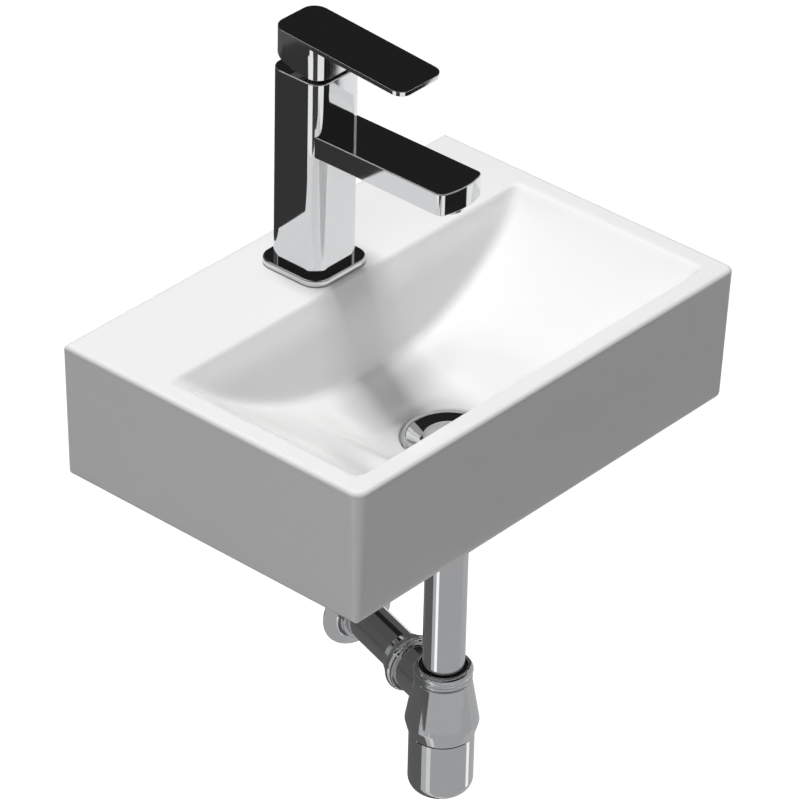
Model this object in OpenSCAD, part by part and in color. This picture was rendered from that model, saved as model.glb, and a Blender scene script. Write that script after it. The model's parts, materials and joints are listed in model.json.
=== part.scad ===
// Wall hung basin with a single lever tap, a click waste and a bottle trap.
// The origin lies on the wall, midway between the two hanger bolts.
// X runs along the wall, Y runs into the wall and Z points up.
// Depths are measured down from the basin's rim and distances out from the wall.

/* [Basin] */
// Width of the basin along the wall
basin_w = 410; // [390:1:450]
// Depth of the basin out from the wall
basin_d = 280; // [272:1:310]
// Height of the basin from its lower edge to the rim
basin_h = 113; // [110:1:130]
// How far each free side leans in at the lower edge
side_draft = 4; // [0:0.5:6]
// Rounding of the rim's outer edge
rim_r = 4; // [2:0.5:5]
// Rounding of the lower edge
foot_r = 6; // [3:0.5:7]
// Rounding of the two upright front corners
corner_r = 8; // [7.5:0.5:12]
// Rounding of the two upright corners at the wall
wall_corner_r = 2; // [1:0.5:4]
// Thickness of the ceramic
wall_t = 11; // [9:0.5:12]
// Height of the rim above the hanger bolts
stud_drop = 55; // [45:1:65]

/* [Bowl] */
// Depth of the flat tap deck
deck_d = 86; // [84:1:92]
// Width of each side rim
side_rim = 18; // [15:1:30]
// Width of the front rim
front_rim = 17; // [15:1:25]
// Depth of the bowl at the waste
bowl_depth = 93; // [85:1:95]
// Depth of the side floors in their middle
side_depth = 72; // [68:1:80]
// How the side floors rise to the rims, from straight at 1 to boxy at 4
side_curve = 2.3; // [1.5:0.1:3]
// Half of the width of the flat trough that leads to the waste
trough_flat = 30; // [10:1:36]
// Half of the width at which that trough has risen to the side floors
trough_half = 100; // [70:1:110]
// Thickness of the ceramic under the bowl's floor, measured upright
floor_t = 9; // [7:0.5:9.5]
// Depth of the upper band of the slope below the deck
shoulder_drop = 19; // [10:1:25]
// Run of the upper band
shoulder_run = 9.5; // [5:0.5:14]
// Depth of the lower band
slope_drop = 50; // [40:1:58]
// Run of the lower band
slope_run = 12; // [8:0.5:18]
// Run of the ramp from the slope to the waste
ramp_run = 40; // [20:1:44]
// How far the front wall of the bowl leans
front_lean = 8; // [4:0.5:12]
// Rounding where two slopes of the bowl meet
bowl_ease = 9; // [3:0.5:12]
// Distance of the waste from the wall
drain_y = 186; // [180:1:195]

/* [Wall fixing] */
// Distance between the two hanger bolts
bolt_gap = 200; // [160:1:280]
// Diameter of a hanger bolt
bolt_d = 10; // [8:1:12]
// Diameter of a hanger bolt's screw end in the wall
bolt_screw_d = 9.5; // [9:0.1:9.6]
// Length of that screw end
bolt_in_wall = 50; // [40:1:80]
// Length of a hanger bolt in front of the wall
bolt_out = 34; // [30:1:45]
// Diameter of the holes in the ceramic
bush_hole_d = 16; // [14.5:0.5:22]
// Diameter of the bush's flange
bush_flange_d = 24; // [23:1:30]
// Thickness of the bush's flange
bush_flange_t = 2; // [1:0.5:3]
// Diameter of the fixing washer
washer_d = 28; // [25:1:34]
// Thickness of the fixing washer
washer_t = 2; // [1:0.5:3]
// Width across the flats of the fixing nut
bolt_nut_af = 17; // [16:1:19]
// Height of the fixing nut
bolt_nut_h = 8; // [6:0.5:10]

/* [Tap body] */
// Distance of the tap from the wall
tap_y = 52; // [48:1:53]
// Diameter of the tap hole in the deck
tap_hole_d = 35; // [32:1:36]
// Width of the square base ring
base_w = 61; // [57:1:62]
// Rounding of the base ring's corners
base_r = 14; // [8:1:16]
// Thickness of the base ring
base_t = 4.5; // [3:0.5:6]
// Width of the gasket under the base ring
base_seal_w = 56; // [48:1:56]
// Thickness of the gasket under the base ring
base_seal_t = 1; // [0.5:0.5:2]
// Diameter of the hole through the base ring
base_hole_d = 33; // [30:0.5:34]
// Width of the square column
body_w = 48.4; // [46:0.2:50]
// Rounding of the column's corners
body_r = 11.5; // [6:0.5:12]
// Height of the column's top above the deck
body_top = 163; // [158:1:180]
// Wall of the hollow lower column
body_wall = 3.5; // [2.5:0.5:4]
// Depth of the hollow inside the lower column
body_hollow_h = 90; // [60:1:94]
// Diameter of the core that holds the inlets
core_d = 33; // [30:1:35]
// Radius of an inlet thread
inlet_r = 4.5; // [4:0.1:5]
// Length of an inlet thread
inlet_len = 12; // [8:1:16]
// Distance of each inlet from the middle
inlet_x = 8; // [7:0.5:9]
// How far the inlets and the spout's feed lie in front of the middle
inlet_front = 3; // [1:0.5:4]
// Radius of the water ways
water_r = 4; // [3:0.1:4.2]

/* [Spout] */
// Width of the spout
spout_w = 44.5; // [40:0.5:48]
// Thickness of the spout
spout_t = 17.5; // [15.5:0.5:19]
// Height of the spout's top above the deck
spout_top = 121; // [118:1:121]
// Reach of the spout from the tap's middle
spout_reach = 142; // [132:0.5:160]
// Rounding of the spout's tip
spout_tip_r = 6; // [4:0.5:14]
// Radius of the bow between those roundings
spout_bow_r = 60; // [40:1:120]
// Distance of the nozzle from the spout's tip
nozzle_back = 14; // [13:0.5:20]
// Diameter of the nozzle
nozzle_d = 19; // [18:0.5:20]
// How far the nozzle stands below the spout
nozzle_drop = 6; // [3:0.5:9]
// Depth of the nozzle's thread in the spout
nozzle_thread_h = 8; // [6:0.5:8.5]
// Height of the nozzle's thread
nozzle_thread_step = 0.6; // [0.4:0.1:0.8]
// Wall of the nozzle
nozzle_wall = 1.5; // [1:0.1:2]
// Thickness of the nozzle's lower lip
nozzle_lip = 1.5; // [1:0.1:2]
// Radius of the flow straightener's holes
insert_hole_r = 1.4; // [1:0.1:1.5]
// Thickness of the rubber washer above the nozzle
nozzle_seal_t = 1.5; // [1:0.1:2]

/* [Cartridge] */
// Diameter of the mixing cartridge
cartridge_d = 35; // [34:0.1:35.4]
// Depth of the cartridge's pocket below the column's top
pocket_depth = 41; // [40:0.5:41.5]
// Thickness of the seat seal
seat_t = 1.5; // [1:0.1:2]
// Thickness of the cartridge's floor
cartridge_floor_t = 4; // [3:0.5:5]
// Height of the cartridge's housing
cartridge_h = 27.5; // [26:0.5:28]
// Diameter of the turning ring
rotor_d = 26.6; // [25:0.1:27]
// Height of the turning ring
rotor_h = 20; // [18:0.5:21]
// Depth of the turning ring's top below the column's top
rotor_sink = 5; // [4:0.5:6]
// Thickness of each ceramic disc
disc_t = 4.4; // [3.5:0.1:4.5]
// Diameter of the sliding disc
moving_disc_d = 15; // [13:0.5:15.5]
// Thickness of the square spindle
spindle_w = 7; // [6:0.1:7.5]
// Radius of the spindle's foot
foot_pin_r = 3; // [2.5:0.1:3.2]
// How far the spindle's foot dips into the sliding disc
foot_dip = 1.5; // [1:0.1:2]
// Radius of the lever's pivot pin
pivot_r = 1.5; // [1:0.1:2]
// Height of the pivot above the pocket's floor
pivot_up = 28; // [27:0.5:30]
// Height of the ring nut
ring_nut_h = 10.5; // [9:0.5:11]
// Gap between the column's top and the ring nut
ring_nut_sink = 1.5; // [1:0.1:2]

/* [Lever] */
// Width of the lever's block and blade
lever_w = 46; // [42:0.5:48]
// Gap between the column and the lever's block
lever_gap = 2.4; // [2:0.1:5]
// Height of the lever's rear edge above the column's top
lever_rise = 33; // [30:0.5:36]
// Drop of the lever's top from the rear edge to the tip
lever_droop = 9; // [4:0.5:14]
// Reach of the blade from the tap's middle
lever_reach = 100; // [85:1:120]
// Thickness of the blade
blade_t = 3.5; // [2.5:0.1:5]
// Thickness of the rib under the blade where it leaves the block
rib_t = 8.5; // [6:0.5:10]
// Width of the rib under the blade
rib_w = 30; // [20:1:38]
// Rounding of the blade's tip
blade_tip_r = 9; // [4:0.5:14]
// Height of the relief under the rear of the block
relief_h = 11; // [9:0.5:13]
// Thickness of the block above the spindle's socket
socket_cover = 12; // [10:0.5:13]
// Height of the grub screw above the column's top
grub_up = 20; // [18:0.5:21]
// Radius of the grub screw
grub_r = 2.5; // [2:0.1:3]
// Length of the grub screw
grub_len = 10; // [8:0.5:12]
// Radius of the cap over the grub screw
cap_r = 3.6; // [3:0.1:4.5]
// Thickness of the cap over the grub screw
cap_t = 3; // [2:0.1:4]

/* [Deck fixing] */
// Radius of the fixing stud
stud_r = 4; // [3:0.5:4]
// Distance of the fixing stud behind the tap's middle
stud_back = 10; // [9.5:0.5:11]
// Depth of the stud's thread in the tap
stud_thread = 20; // [12:1:30]
// Length of the stud below the basin's deck
stud_below = 32; // [28:1:40]
// Radius of the horseshoe gasket
gasket_r = 21; // [19:0.5:21.5]
// Thickness of the horseshoe gasket
gasket_t = 3; // [2:0.5:4]
// Thickness of the horseshoe plate
plate_t = 2.5; // [1.5:0.5:4]
// Width of the horseshoe's slot
slot_w = 27; // [26:0.5:29]
// Width across the flats of the long nut
long_nut_af = 13; // [12:1:15]
// Height of the long nut
long_nut_h = 20; // [15:1:22]

/* [Waste] */
// Diameter of the hole in the ceramic
waste_hole_d = 46; // [44:0.5:48]
// Diameter of the recess round the waste
recess_d = 73.5; // [73:0.5:77]
// Depth of the recess
recess_t = 2.5; // [2:0.1:3]
// Thickness of the ceramic under the recess
seat_wall = 10.5; // [9.5:0.5:11]
// Diameter of the waste's flange
flange_d = 72; // [66:0.5:72]
// Thickness of the flange's rim
flange_t = 2.7; // [2:0.1:4]
// Thickness of the ring under the flange
flange_seal_t = 1.5; // [1:0.1:2]
// Depth of the dish inside the flange
dish_depth = 9; // [8.5:0.5:9.5]
// Diameter of the waste's thread
waste_thread_d = 41.9; // [41:0.1:42.5]
// Inner diameter of the waste
waste_bore_d = 34; // [33.5:0.5:36]
// Length of the waste below its flange
waste_tail = 70; // [64:1:80]
// Diameter of the plug
plug_d = 40; // [38:0.5:42]
// Thickness of the plug
plug_t = 3; // [2.5:0.1:4]
// Height of the open plug's top above the flange
plug_up = 1; // [0:0.1:2]
// Thickness of the plug's rubber ring
plug_seal_t = 1.5; // [1:0.1:1.6]
// Radius of the plug's stem
stem_r = 4; // [3:0.1:4.2]
// Length of the plug's stem
stem_len = 30; // [26:1:34]
// Radius of the hub in the waste
hub_r = 8; // [7.5:0.1:9]
// Height of the hub in the waste
hub_h = 22; // [20:1:26]
// Depth of the hub's top below the flange's top
hub_drop = 13; // [12:0.5:14]
// Depth of the spring's pocket in the hub
spring_pocket = 16; // [14:0.5:17]
// Radius of the spring's wire
wire_r = 0.6; // [0.4:0.1:0.7]
// Middle radius of the spring
spring_r = 5.4; // [5:0.1:5.6]
// Turns of the spring
spring_turns = 5; // [4:1:6]
// Thickness of the rubber ring under the bowl
waste_gasket_t = 5; // [3:0.5:7]
// Diameter of the rubber ring under the bowl
waste_gasket_d = 62; // [56:1:68]
// Width across the flats of the waste's nut
backnut_af = 52; // [48:1:56]
// Height of the waste's nut
backnut_h = 8; // [6:0.5:10]

/* [Tailpipe] */
// Outer diameter of the waste pipes
pipe_d = 32; // [31:0.5:32]
// Wall of the waste pipes
pipe_wall = 1; // [0.8:0.1:1.5]
// Length of the tailpipe
tailpipe_len = 196; // [190:1:205]
// Thickness of the tailpipe's flange
pipe_flange_t = 2; // [1.5:0.1:3]
// Thickness of the washer above the tailpipe
pipe_washer_t = 2; // [1.5:0.1:3]
// Width across the flats of the tailpipe's nut
pipe_nut_af = 48; // [46:0.5:52]
// Length of thread that the tailpipe's nut covers
pipe_nut_grip = 14; // [10:1:18]
// Thickness of the lip of the tailpipe's nut
pipe_nut_lip = 4; // [3:0.5:5]

/* [Trap] */
// Depth of the trap's top below the rim
trap_drop = 293; // [285:1:296]
// Diameter of the inlet nut
inlet_nut_d = 45; // [44:0.5:48]
// Height of the inlet nut
inlet_nut_h = 11; // [10:0.5:14]
// Thickness of the inlet nut's inward lip
inlet_lip = 2.5; // [2:0.1:3]
// Diameter of the trap's neck
neck_d = 39; // [38.5:0.1:40]
// Wall of the trap's neck round its seal
neck_wall = 1.6; // [1.4:0.1:1.8]
// Length of the seals of the trap's joints
seal_len = 7; // [5:0.5:8]
// Widest diameter of the trap's body
trap_d = 56; // [54:0.5:60]
// Height of the trap's flared cone
cone_h = 37; // [36:0.5:42]
// Height of the band and chamfer below the cone
chamfer_h = 12; // [10:0.5:14]
// Diameter of the trap's cup
cup_d = 49.6; // [49.2:0.1:51]
// Height of the trap's cup
cup_h = 52; // [48:0.5:60]
// Rounding of the cup's lower edge
cup_round = 11; // [5:0.5:12]
// Wall of the cup and of its neck
cup_wall = 2; // [1.5:0.1:2.4]
// Wall between the cup's outside and its thread
cup_thread_step = 1.9; // [1.6:0.1:2.2]
// Height of the cup's threaded neck
cup_neck_h = 10; // [9.4:0.2:10.4]
// Thickness of the cup's rubber ring
cup_seal_t = 2; // [1.5:0.1:2.2]
// Depth of the branch's axis below the trap's top
branch_drop = 26; // [25:0.5:28]
// Length of the branch from the trap's axis
branch_len = 46; // [44:0.5:50]
// Diameter of the outlet nut
outlet_nut_d = 47; // [44:0.5:50]
// Length of the outlet nut's round band
outlet_band = 10; // [8:0.5:12]
// Length of the outlet nut's taper
outlet_taper = 9; // [6:0.5:12]
// Distance of the outlet pipe's inner end from the trap's axis
outlet_start = 34; // [32:0.5:36]
// Distance of the outlet pipe's far end from the trap's axis
outlet_end = 218; // [205:1:260]
// Length of the pipe's slimmer end, which goes into the wall
spigot_len = 60; // [40:5:60]
// How much smaller the radius of that end is
spigot_step = 0.3; // [0.2:0.05:0.5]
// Angle of the outlet to the side, seen from above
outlet_angle = 17; // [0:1:30]
// Diameter of the wall rosette
rosette_d = 60; // [55:1:70]
// Height of the wall rosette
rosette_h = 13; // [10:0.5:18]
// Thickness of the rosette's sheet
rosette_t = 1.2; // [0.8:0.1:2]
// Distance of the rosette's rim from the trap's axis
rosette_at = 124; // [110:1:150]
// Diameter of the rosette's hub
rosette_hub_d = 38; // [36:0.5:42]

/* [Fits] */
// Radial clearance of turning and sliding fits
run_gap = 0.08; // [0.05:0.01:0.1]
// Radial clearance of threads and seats that stay still
seat_gap = 0.1; // [0.05:0.01:0.2]
// Clearance between pieces that pass each other
pass_gap = 0.4; // [0.3:0.05:0.6]

/* [Hidden] */
$fn = 64;

ceramic_white = [0.94, 0.94, 0.93];
chrome = [0.78, 0.79, 0.80];
brass = [0.80, 0.66, 0.36];
rubber = [0.10, 0.10, 0.10];
steel = [0.60, 0.61, 0.62];
plastic = [0.88, 0.88, 0.86];

// Small overshoot of every cut
cut = 1;
// Rows of faces across the bowl's floor, and along its ramp
floor_rows = 30;
ramp_rows = 6;

bowl_half = basin_w / 2 - side_rim;
bowl_front = basin_d - front_rim;
slope_foot_y = deck_d + shoulder_run + slope_run;
slope_foot_z = shoulder_drop + slope_drop;
slope_deep = bowl_depth + 2 * wall_t;

// Depths below the rim
recess_z = -bowl_depth - recess_t;
seat_under_z = recess_z - seat_wall;
flange_low_z = recess_z + flange_seal_t;
flange_top_z = flange_low_z + flange_t;
ledge_z = flange_top_z - dish_depth;
waste_end_z = flange_low_z - waste_tail;
plug_top_z = flange_top_z + plug_up;
plug_low_z = plug_top_z - plug_t;
hub_top_z = flange_top_z - hub_drop;
backnut_top_z = seat_under_z - waste_gasket_t;
pipe_flange_z = waste_end_z - pipe_washer_t - pipe_flange_t;
neck_top_z = -trap_drop - inlet_lip;
cone_top_z = -trap_drop - inlet_nut_h;
cone_low_z = cone_top_z - cone_h;
trap_low_z = cone_low_z - chamfer_h;
cup_top_z = trap_low_z - 2 * seat_gap;
cup_ledge_z = cup_top_z + cup_neck_h + cup_seal_t + seat_gap;
cup_low_z = cup_top_z - cup_h;
branch_z = -trap_drop - branch_drop;

// Radii of the trap's joints
neck_bore_r = neck_d / 2 - neck_wall;
cup_neck_r = cup_d / 2 - cup_thread_step;
cup_in_r = cup_neck_r - cup_wall;
rosette_in = rosette_at - rosette_h;

// Heights above the deck, for the tap
body_low = base_seal_t + base_t;
spout_low = spout_top - spout_t;
spout_water_z = spout_low + spout_t / 2;
nozzle_y = spout_reach - nozzle_back;
nozzle_low = spout_low - nozzle_drop;
nozzle_thread_r = nozzle_d / 2 - nozzle_thread_step;
nozzle_thread_z = spout_low + nozzle_thread_h;
pocket_r = cartridge_d / 2 + 2 * pass_gap;
pocket_z = body_top - pocket_depth;
cartridge_z = pocket_z + seat_t;
disc_z = cartridge_z + cartridge_floor_t;
moving_z = disc_z + disc_t + seat_gap;
pivot_z = pocket_z + pivot_up;
rotor_top = body_top - rotor_sink;
cavity_r = rotor_d / 2 + run_gap;
foot_low = moving_z + disc_t - foot_dip;
ring_nut_top = body_top - ring_nut_sink;
lever_top = body_top + lever_rise;
lever_slope = lever_droop / (lever_reach + lever_w / 2);
block_low = body_top + lever_gap;
socket_top = lever_top - socket_cover;
grub_z = body_top + grub_up;

// Wall fixing, out from the wall
bush_face = wall_t + bush_flange_t;
washer_face = bush_face + washer_t;

// Height of the bowl's floor: two side floors, and between them a trough that runs down a ramp
function smooth(t) = let(s = min(1, max(0, t))) s * s * (3 - 2 * s);
function trough(x) = 1 - smooth((abs(x) - trough_flat) / (trough_half - trough_flat));
function ramp(y) = smooth((y - slope_foot_y) / ramp_run);
function floor_at(x, y) = -side_depth * (1 - pow(abs(x) / bowl_half, side_curve))
    - (bowl_depth - side_depth) * trough(x) * ramp(y);

// Points of a quarter turn of a corner, and a rounded rectangle about the middle
function bow(cx, cy, r, from, to, n = 8) = [for (i = [0:n])
    let(turn = from + (to - from) * i / n) [cx + r * cos(turn), cy + r * sin(turn)]];
function quarter(cx, cy, r, start) = bow(cx, cy, r, start, start + 90);
function rounded_rect(w, d, r) = concat(
    quarter(w / 2 - r, d / 2 - r, r, 0),
    quarter(r - w / 2, d / 2 - r, r, 90),
    quarter(r - w / 2, r - d / 2, r, 180),
    quarter(w / 2 - r, r - d / 2, r, 270));

// A plate that ends at the wall or at the middle, and is rounded at its far corners
function tongue(w, near, far, r, near_r = 0.01) = concat(
    quarter(w / 2 - near_r, near - near_r, near_r, 0),
    quarter(near_r - w / 2, near - near_r, near_r, 90),
    quarter(r - w / 2, r - far, r, 180),
    quarter(w / 2 - r, r - far, r, 270));
// A plate from the middle whose far edge is a bow of radius big between rounded corners
function bowed_tongue(w, far, r, big) = let(turn = asin((w / 2 - r) / (big - r)),
    corner = big - far - (big - r) * cos(turn)) concat([[w / 2, 0], [-w / 2, 0]],
    bow(r - w / 2, corner, r, 180, 270 - turn),
    bow(0, big - far, big, 270 - turn, 270 + turn, 16),
    bow(w / 2 - r, corner, r, 270 + turn, 360));

// A parabola from a to c with b as its control point
function curve(a, b, c, n = 10) = [for (i = [0:n]) let(t = i / n)
    (1 - t) * (1 - t) * a + 2 * t * (1 - t) * b + t * t * c];
function unit(v) = v / norm(v);
// Eases each inner point of a path with a curve that starts ease before the point
function bend(a, b, c, ease) = curve(b + unit(a - b) * min(ease, norm(a - b) / 2.2), b,
    b + unit(c - b) * min(ease, norm(c - b) / 2.2), 6);
function eased(path, ease) = [for (i = [0:len(path) - 1])
    each (i == 0 || i == len(path) - 1 ? [path[i]]
        : bend(path[i - 1], path[i], path[i + 1], ease))];

// Slopes of the bowl at its wall side and front, moved outwards by t for the underside
function bowl_section(t, front) = eased([
    [-deck_d + t, basin_h],
    [-deck_d + t, -t / 4],
    [-deck_d - shoulder_run + t, -shoulder_drop - t / 4],
    [-slope_foot_y + t, -slope_foot_z],
    [-slope_foot_y - slope_run / slope_drop * (slope_deep - slope_foot_z) + t, -slope_deep],
    [-front + front_lean * slope_deep / bowl_depth, -slope_deep],
    [-front, 0],
    [-front, basin_h]], bowl_ease);

module at_rim() translate([0, 0, stud_drop]) children();
module at_tap() translate([0, -tap_y, stud_drop]) children();
module at_drain() translate([0, -drain_y, stud_drop]) children();
module at_outlet() translate([0, -drain_y, stud_drop + branch_z])
    rotate([0, 0, -outlet_angle]) rotate([-90, 0, 0]) children();
module at_bolts() for (side = [-1, 1]) translate([side * bolt_gap / 2, 0, 0])
    rotate([90, 0, 0]) children();

module prism_x(points, w) rotate([90, 0, 90]) linear_extrude(w, center = true) polygon(points);
module plate(points, z, h) translate([0, 0, z]) linear_extrude(h) polygon(points);
module disc(r, low, high) translate([0, 0, low]) cylinder(r = r, h = high - low);
module ring(outer, inner, low, high) difference() {
    disc(outer, low, high);
    disc(inner, low - cut, high + cut);
}
module hexagon(flats, inner, low, high) difference() {
    translate([0, 0, low]) cylinder(r = flats / 2 / cos(30), h = high - low, $fn = 6);
    disc(inner, low - cut, high + cut);
}
module water_ways(r, low, high) {
    for (side = [-1, 1]) translate([side * inlet_x, -inlet_front, 0]) disc(r, low, high);
}
module feed_way(r, low, high) translate([0, -inlet_x, 0]) disc(r, low, high);

// One slice of the basin's outside, drawn in by inset
module outline_slice(inset, z, round_by) {
    lean = side_draft * -z / basin_h;
    plate(tongue(basin_w - 2 * (inset + lean), 0, basin_d - inset - lean,
        corner_r - round_by, wall_corner_r), z, 0.01);
}
module basin_outside() hull() {
    for (a = [0:22.5:90]) outline_slice(rim_r * (1 - cos(a)), -rim_r * (1 - sin(a)) - 0.01,
        rim_r * (1 - cos(a)));
    for (a = [0:22.5:90]) outline_slice(foot_r * (1 - cos(a)), foot_r * (1 - sin(a)) - basin_h,
        foot_r * (1 - cos(a)));
}
// A block over the bowl's floor, wider by t on each side and lower by drop
module floor_block(t, drop) {
    half = bowl_half + t;
    xs = [for (i = [0:floor_rows]) half * (2 * i / floor_rows - 1)];
    ys = concat([deck_d - wall_t], [for (i = [0:ramp_rows]) slope_foot_y + ramp_run * i / ramp_rows],
        [basin_d + wall_t]);
    nx = len(xs);
    ny = len(ys);
    under = nx * ny;
    points = concat(
        [for (y = ys) for (x = xs) [x, -y, floor_at(x, y) - drop]],
        [for (y = ys) for (x = xs) [x, -y, basin_h]]);
    faces = concat(
        [for (j = [0:ny - 2]) for (i = [0:nx - 2]) let(a = j * nx + i, b = a + nx)
            each [[a, b, b + 1], [a, b + 1, a + 1]]],
        [for (j = [0:ny - 2]) for (i = [0:nx - 2]) let(a = under + j * nx + i, b = a + nx)
            [a, a + 1, b + 1, b]],
        [for (a = [0:nx - 2]) [a, a + 1, a + 1 + under, a + under]],
        [for (a = [under - nx:under - 2]) [a + 1, a, a + under, a + 1 + under]],
        [for (j = [0:ny - 2]) let(a = j * nx) [a + nx, a, a + under, a + nx + under]],
        [for (j = [0:ny - 2]) let(a = j * nx + nx - 1) [a, a + nx, a + nx + under, a + under]]);
    polyhedron(points, faces);
}
// The space of the bowl, made larger by t for the underside of its shell
module bowl_space(t, drop, front) intersection() {
    floor_block(t, drop);
    prism_x(bowl_section(t, front), basin_w);
}
module basin_hollow() difference() {
    plate(tongue(basin_w - 2 * (wall_t + side_draft), -wall_t,
        basin_d - wall_t - side_draft, corner_r), -basin_h - cut, basin_h - wall_t + cut);
    bowl_space(wall_t, floor_t, basin_d + wall_t);
    translate([0, -drain_y, 0]) disc(recess_d / 2 + wall_t / 2, seat_under_z, 0);
}

module basin() color(ceramic_white) difference() {
    at_rim() difference() {
        basin_outside();
        bowl_space(0, 0, bowl_front);
        basin_hollow();
    }
    at_tap() disc(tap_hole_d / 2, -wall_t - cut, cut);
    at_drain() {
        disc(recess_d / 2, recess_z, -bowl_depth / 2);
        disc(waste_hole_d / 2, seat_under_z - cut, -bowl_depth);
        translate([0, 0, ledge_z - flange_t]) cylinder(r1 = waste_hole_d / 2,
            r2 = flange_d / 2 - 3, h = recess_z - ledge_z + flange_t + 0.01);
    }
    at_bolts() disc(bush_hole_d / 2, -cut, wall_t + cut);
}

module hanger_bolts() color(steel) at_bolts() union() {
    disc(bolt_d / 2, 0, bolt_out);
    disc(bolt_screw_d / 2, -bolt_in_wall, bolt_out / 2);
}
module bolt_bushes() color(plastic) at_bolts() difference() {
    union() {
        disc(bush_hole_d / 2 - seat_gap, 0, bush_face);
        disc(bush_flange_d / 2, wall_t, bush_face);
    }
    disc(bolt_d / 2 + seat_gap, -cut, bush_face + cut);
}
module bolt_washers() color(steel) at_bolts()
    ring(washer_d / 2, bolt_d / 2 + pass_gap, bush_face, washer_face);
module bolt_nuts() color(steel) at_bolts()
    hexagon(bolt_nut_af, bolt_d / 2 + seat_gap / 2, washer_face, washer_face + bolt_nut_h);

module base_seal() color(rubber) at_tap() difference() {
    plate(rounded_rect(base_seal_w, base_seal_w, base_r - 2), 0, base_seal_t);
    disc(tap_hole_d / 2, -cut, base_seal_t + cut);
}
module base_ring() color(chrome) at_tap() difference() {
    plate(rounded_rect(base_w, base_w, base_r), base_seal_t, base_t);
    disc(base_hole_d / 2, 0, body_low + cut);
}
module tap_body() color(chrome) at_tap() difference() {
    union() {
        plate(rounded_rect(body_w, body_w, body_r), body_low, body_top - body_low);
        plate(bowed_tongue(spout_w, spout_reach, spout_tip_r, spout_bow_r), spout_low, spout_t);
    }
    difference() {
        plate(rounded_rect(body_w - 2 * body_wall, body_w - 2 * body_wall, body_r - body_wall),
            body_low - cut, body_hollow_h + cut);
        disc(core_d / 2, 0, body_top);
    }
    disc(pocket_r, pocket_z, body_top + cut);
    water_ways(water_r, body_low - cut, pocket_z + cut);
    water_ways(inlet_r, body_low - cut, body_low + inlet_len);
    feed_way(water_r, spout_water_z, pocket_z + cut);
    translate([0, 0, spout_water_z]) rotate([90, 0, 0]) disc(water_r, inlet_x, nozzle_y);
    translate([0, -nozzle_y, 0])
        disc(nozzle_thread_r, spout_low - cut, nozzle_thread_z + nozzle_seal_t);
    translate([0, stud_back, 0]) disc(stud_r + seat_gap / 2, body_low - cut, body_low + stud_thread);
}
module aerator_housing() color(chrome) at_tap() translate([0, -nozzle_y, 0]) difference() {
    union() {
        disc(nozzle_d / 2, nozzle_low, spout_low - seat_gap);
        disc(nozzle_thread_r - seat_gap, nozzle_low, nozzle_thread_z);
    }
    disc(nozzle_d / 2 - nozzle_wall - nozzle_lip, nozzle_low - cut, spout_top);
    disc(nozzle_d / 2 - nozzle_wall, nozzle_low + nozzle_lip, spout_top);
}
module aerator_insert() color(plastic) at_tap() translate([0, -nozzle_y, 0]) difference() {
    disc(nozzle_d / 2 - nozzle_wall - seat_gap, nozzle_low + nozzle_lip, nozzle_thread_z - 2);
    for (turn = [0:60:300]) rotate([0, 0, turn]) translate([nozzle_d / 4, 0, 0])
        disc(insert_hole_r, nozzle_low, spout_top);
    disc(insert_hole_r, nozzle_low, spout_top);
}
module aerator_seal() color(rubber) at_tap() translate([0, -nozzle_y, 0])
    ring(nozzle_thread_r - seat_gap, water_r + 1, nozzle_thread_z, nozzle_thread_z + nozzle_seal_t);

module cartridge_seal() color(rubber) at_tap() difference() {
    disc(cartridge_d / 2, pocket_z, cartridge_z);
    water_ways(water_r, pocket_z - cut, cartridge_z + cut);
    feed_way(water_r, pocket_z - cut, cartridge_z + cut);
}
module cartridge_body() color(plastic) at_tap() difference() {
    disc(cartridge_d / 2, cartridge_z, cartridge_z + cartridge_h);
    disc(cavity_r, disc_z, body_top);
    water_ways(water_r, cartridge_z - cut, disc_z + cut);
    feed_way(water_r, cartridge_z - cut, disc_z + cut);
}
module fixed_disc() color(ceramic_white) at_tap() difference() {
    disc(cavity_r - seat_gap, disc_z, disc_z + disc_t);
    water_ways(water_r - 1, disc_z - cut, moving_z + cut);
    feed_way(water_r - 1, disc_z - cut, moving_z + cut);
}
module moving_disc() color(ceramic_white) at_tap() difference() {
    disc(moving_disc_d / 2, moving_z, moving_z + disc_t);
    disc(foot_pin_r + pass_gap, foot_low - pass_gap, moving_z + disc_t + cut);
}
module cartridge_rotor() color(plastic) at_tap() difference() {
    disc(rotor_d / 2, rotor_top - rotor_h, rotor_top);
    translate([0, 0, rotor_top - rotor_h / 2])
        cube([spindle_w + pass_gap, 2.8 * spindle_w, rotor_h + 2 * cut], center = true);
    translate([0, 0, pivot_z]) rotate([0, 90, 0]) disc(pivot_r + seat_gap / 2, -rotor_d, rotor_d);
}
module pivot_pin() color(steel) at_tap() translate([0, 0, pivot_z]) rotate([0, 90, 0])
    disc(pivot_r, 1 - rotor_d / 2, rotor_d / 2 - 1);
module lever_spindle() color(steel) at_tap() difference() {
    union() {
        translate([-spindle_w / 2, -spindle_w / 2, pivot_z - spindle_w / 2])
            cube([spindle_w, spindle_w, socket_top - pivot_z + spindle_w / 2 - 2]);
        disc(foot_pin_r, foot_low, pivot_z);
    }
    translate([0, 0, pivot_z]) rotate([0, 90, 0])
        disc(pivot_r + run_gap, -spindle_w, spindle_w);
}
module cartridge_nut() color(brass) at_tap()
    ring(pocket_r - seat_gap, cavity_r + pass_gap, ring_nut_top - ring_nut_h, ring_nut_top);

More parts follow.
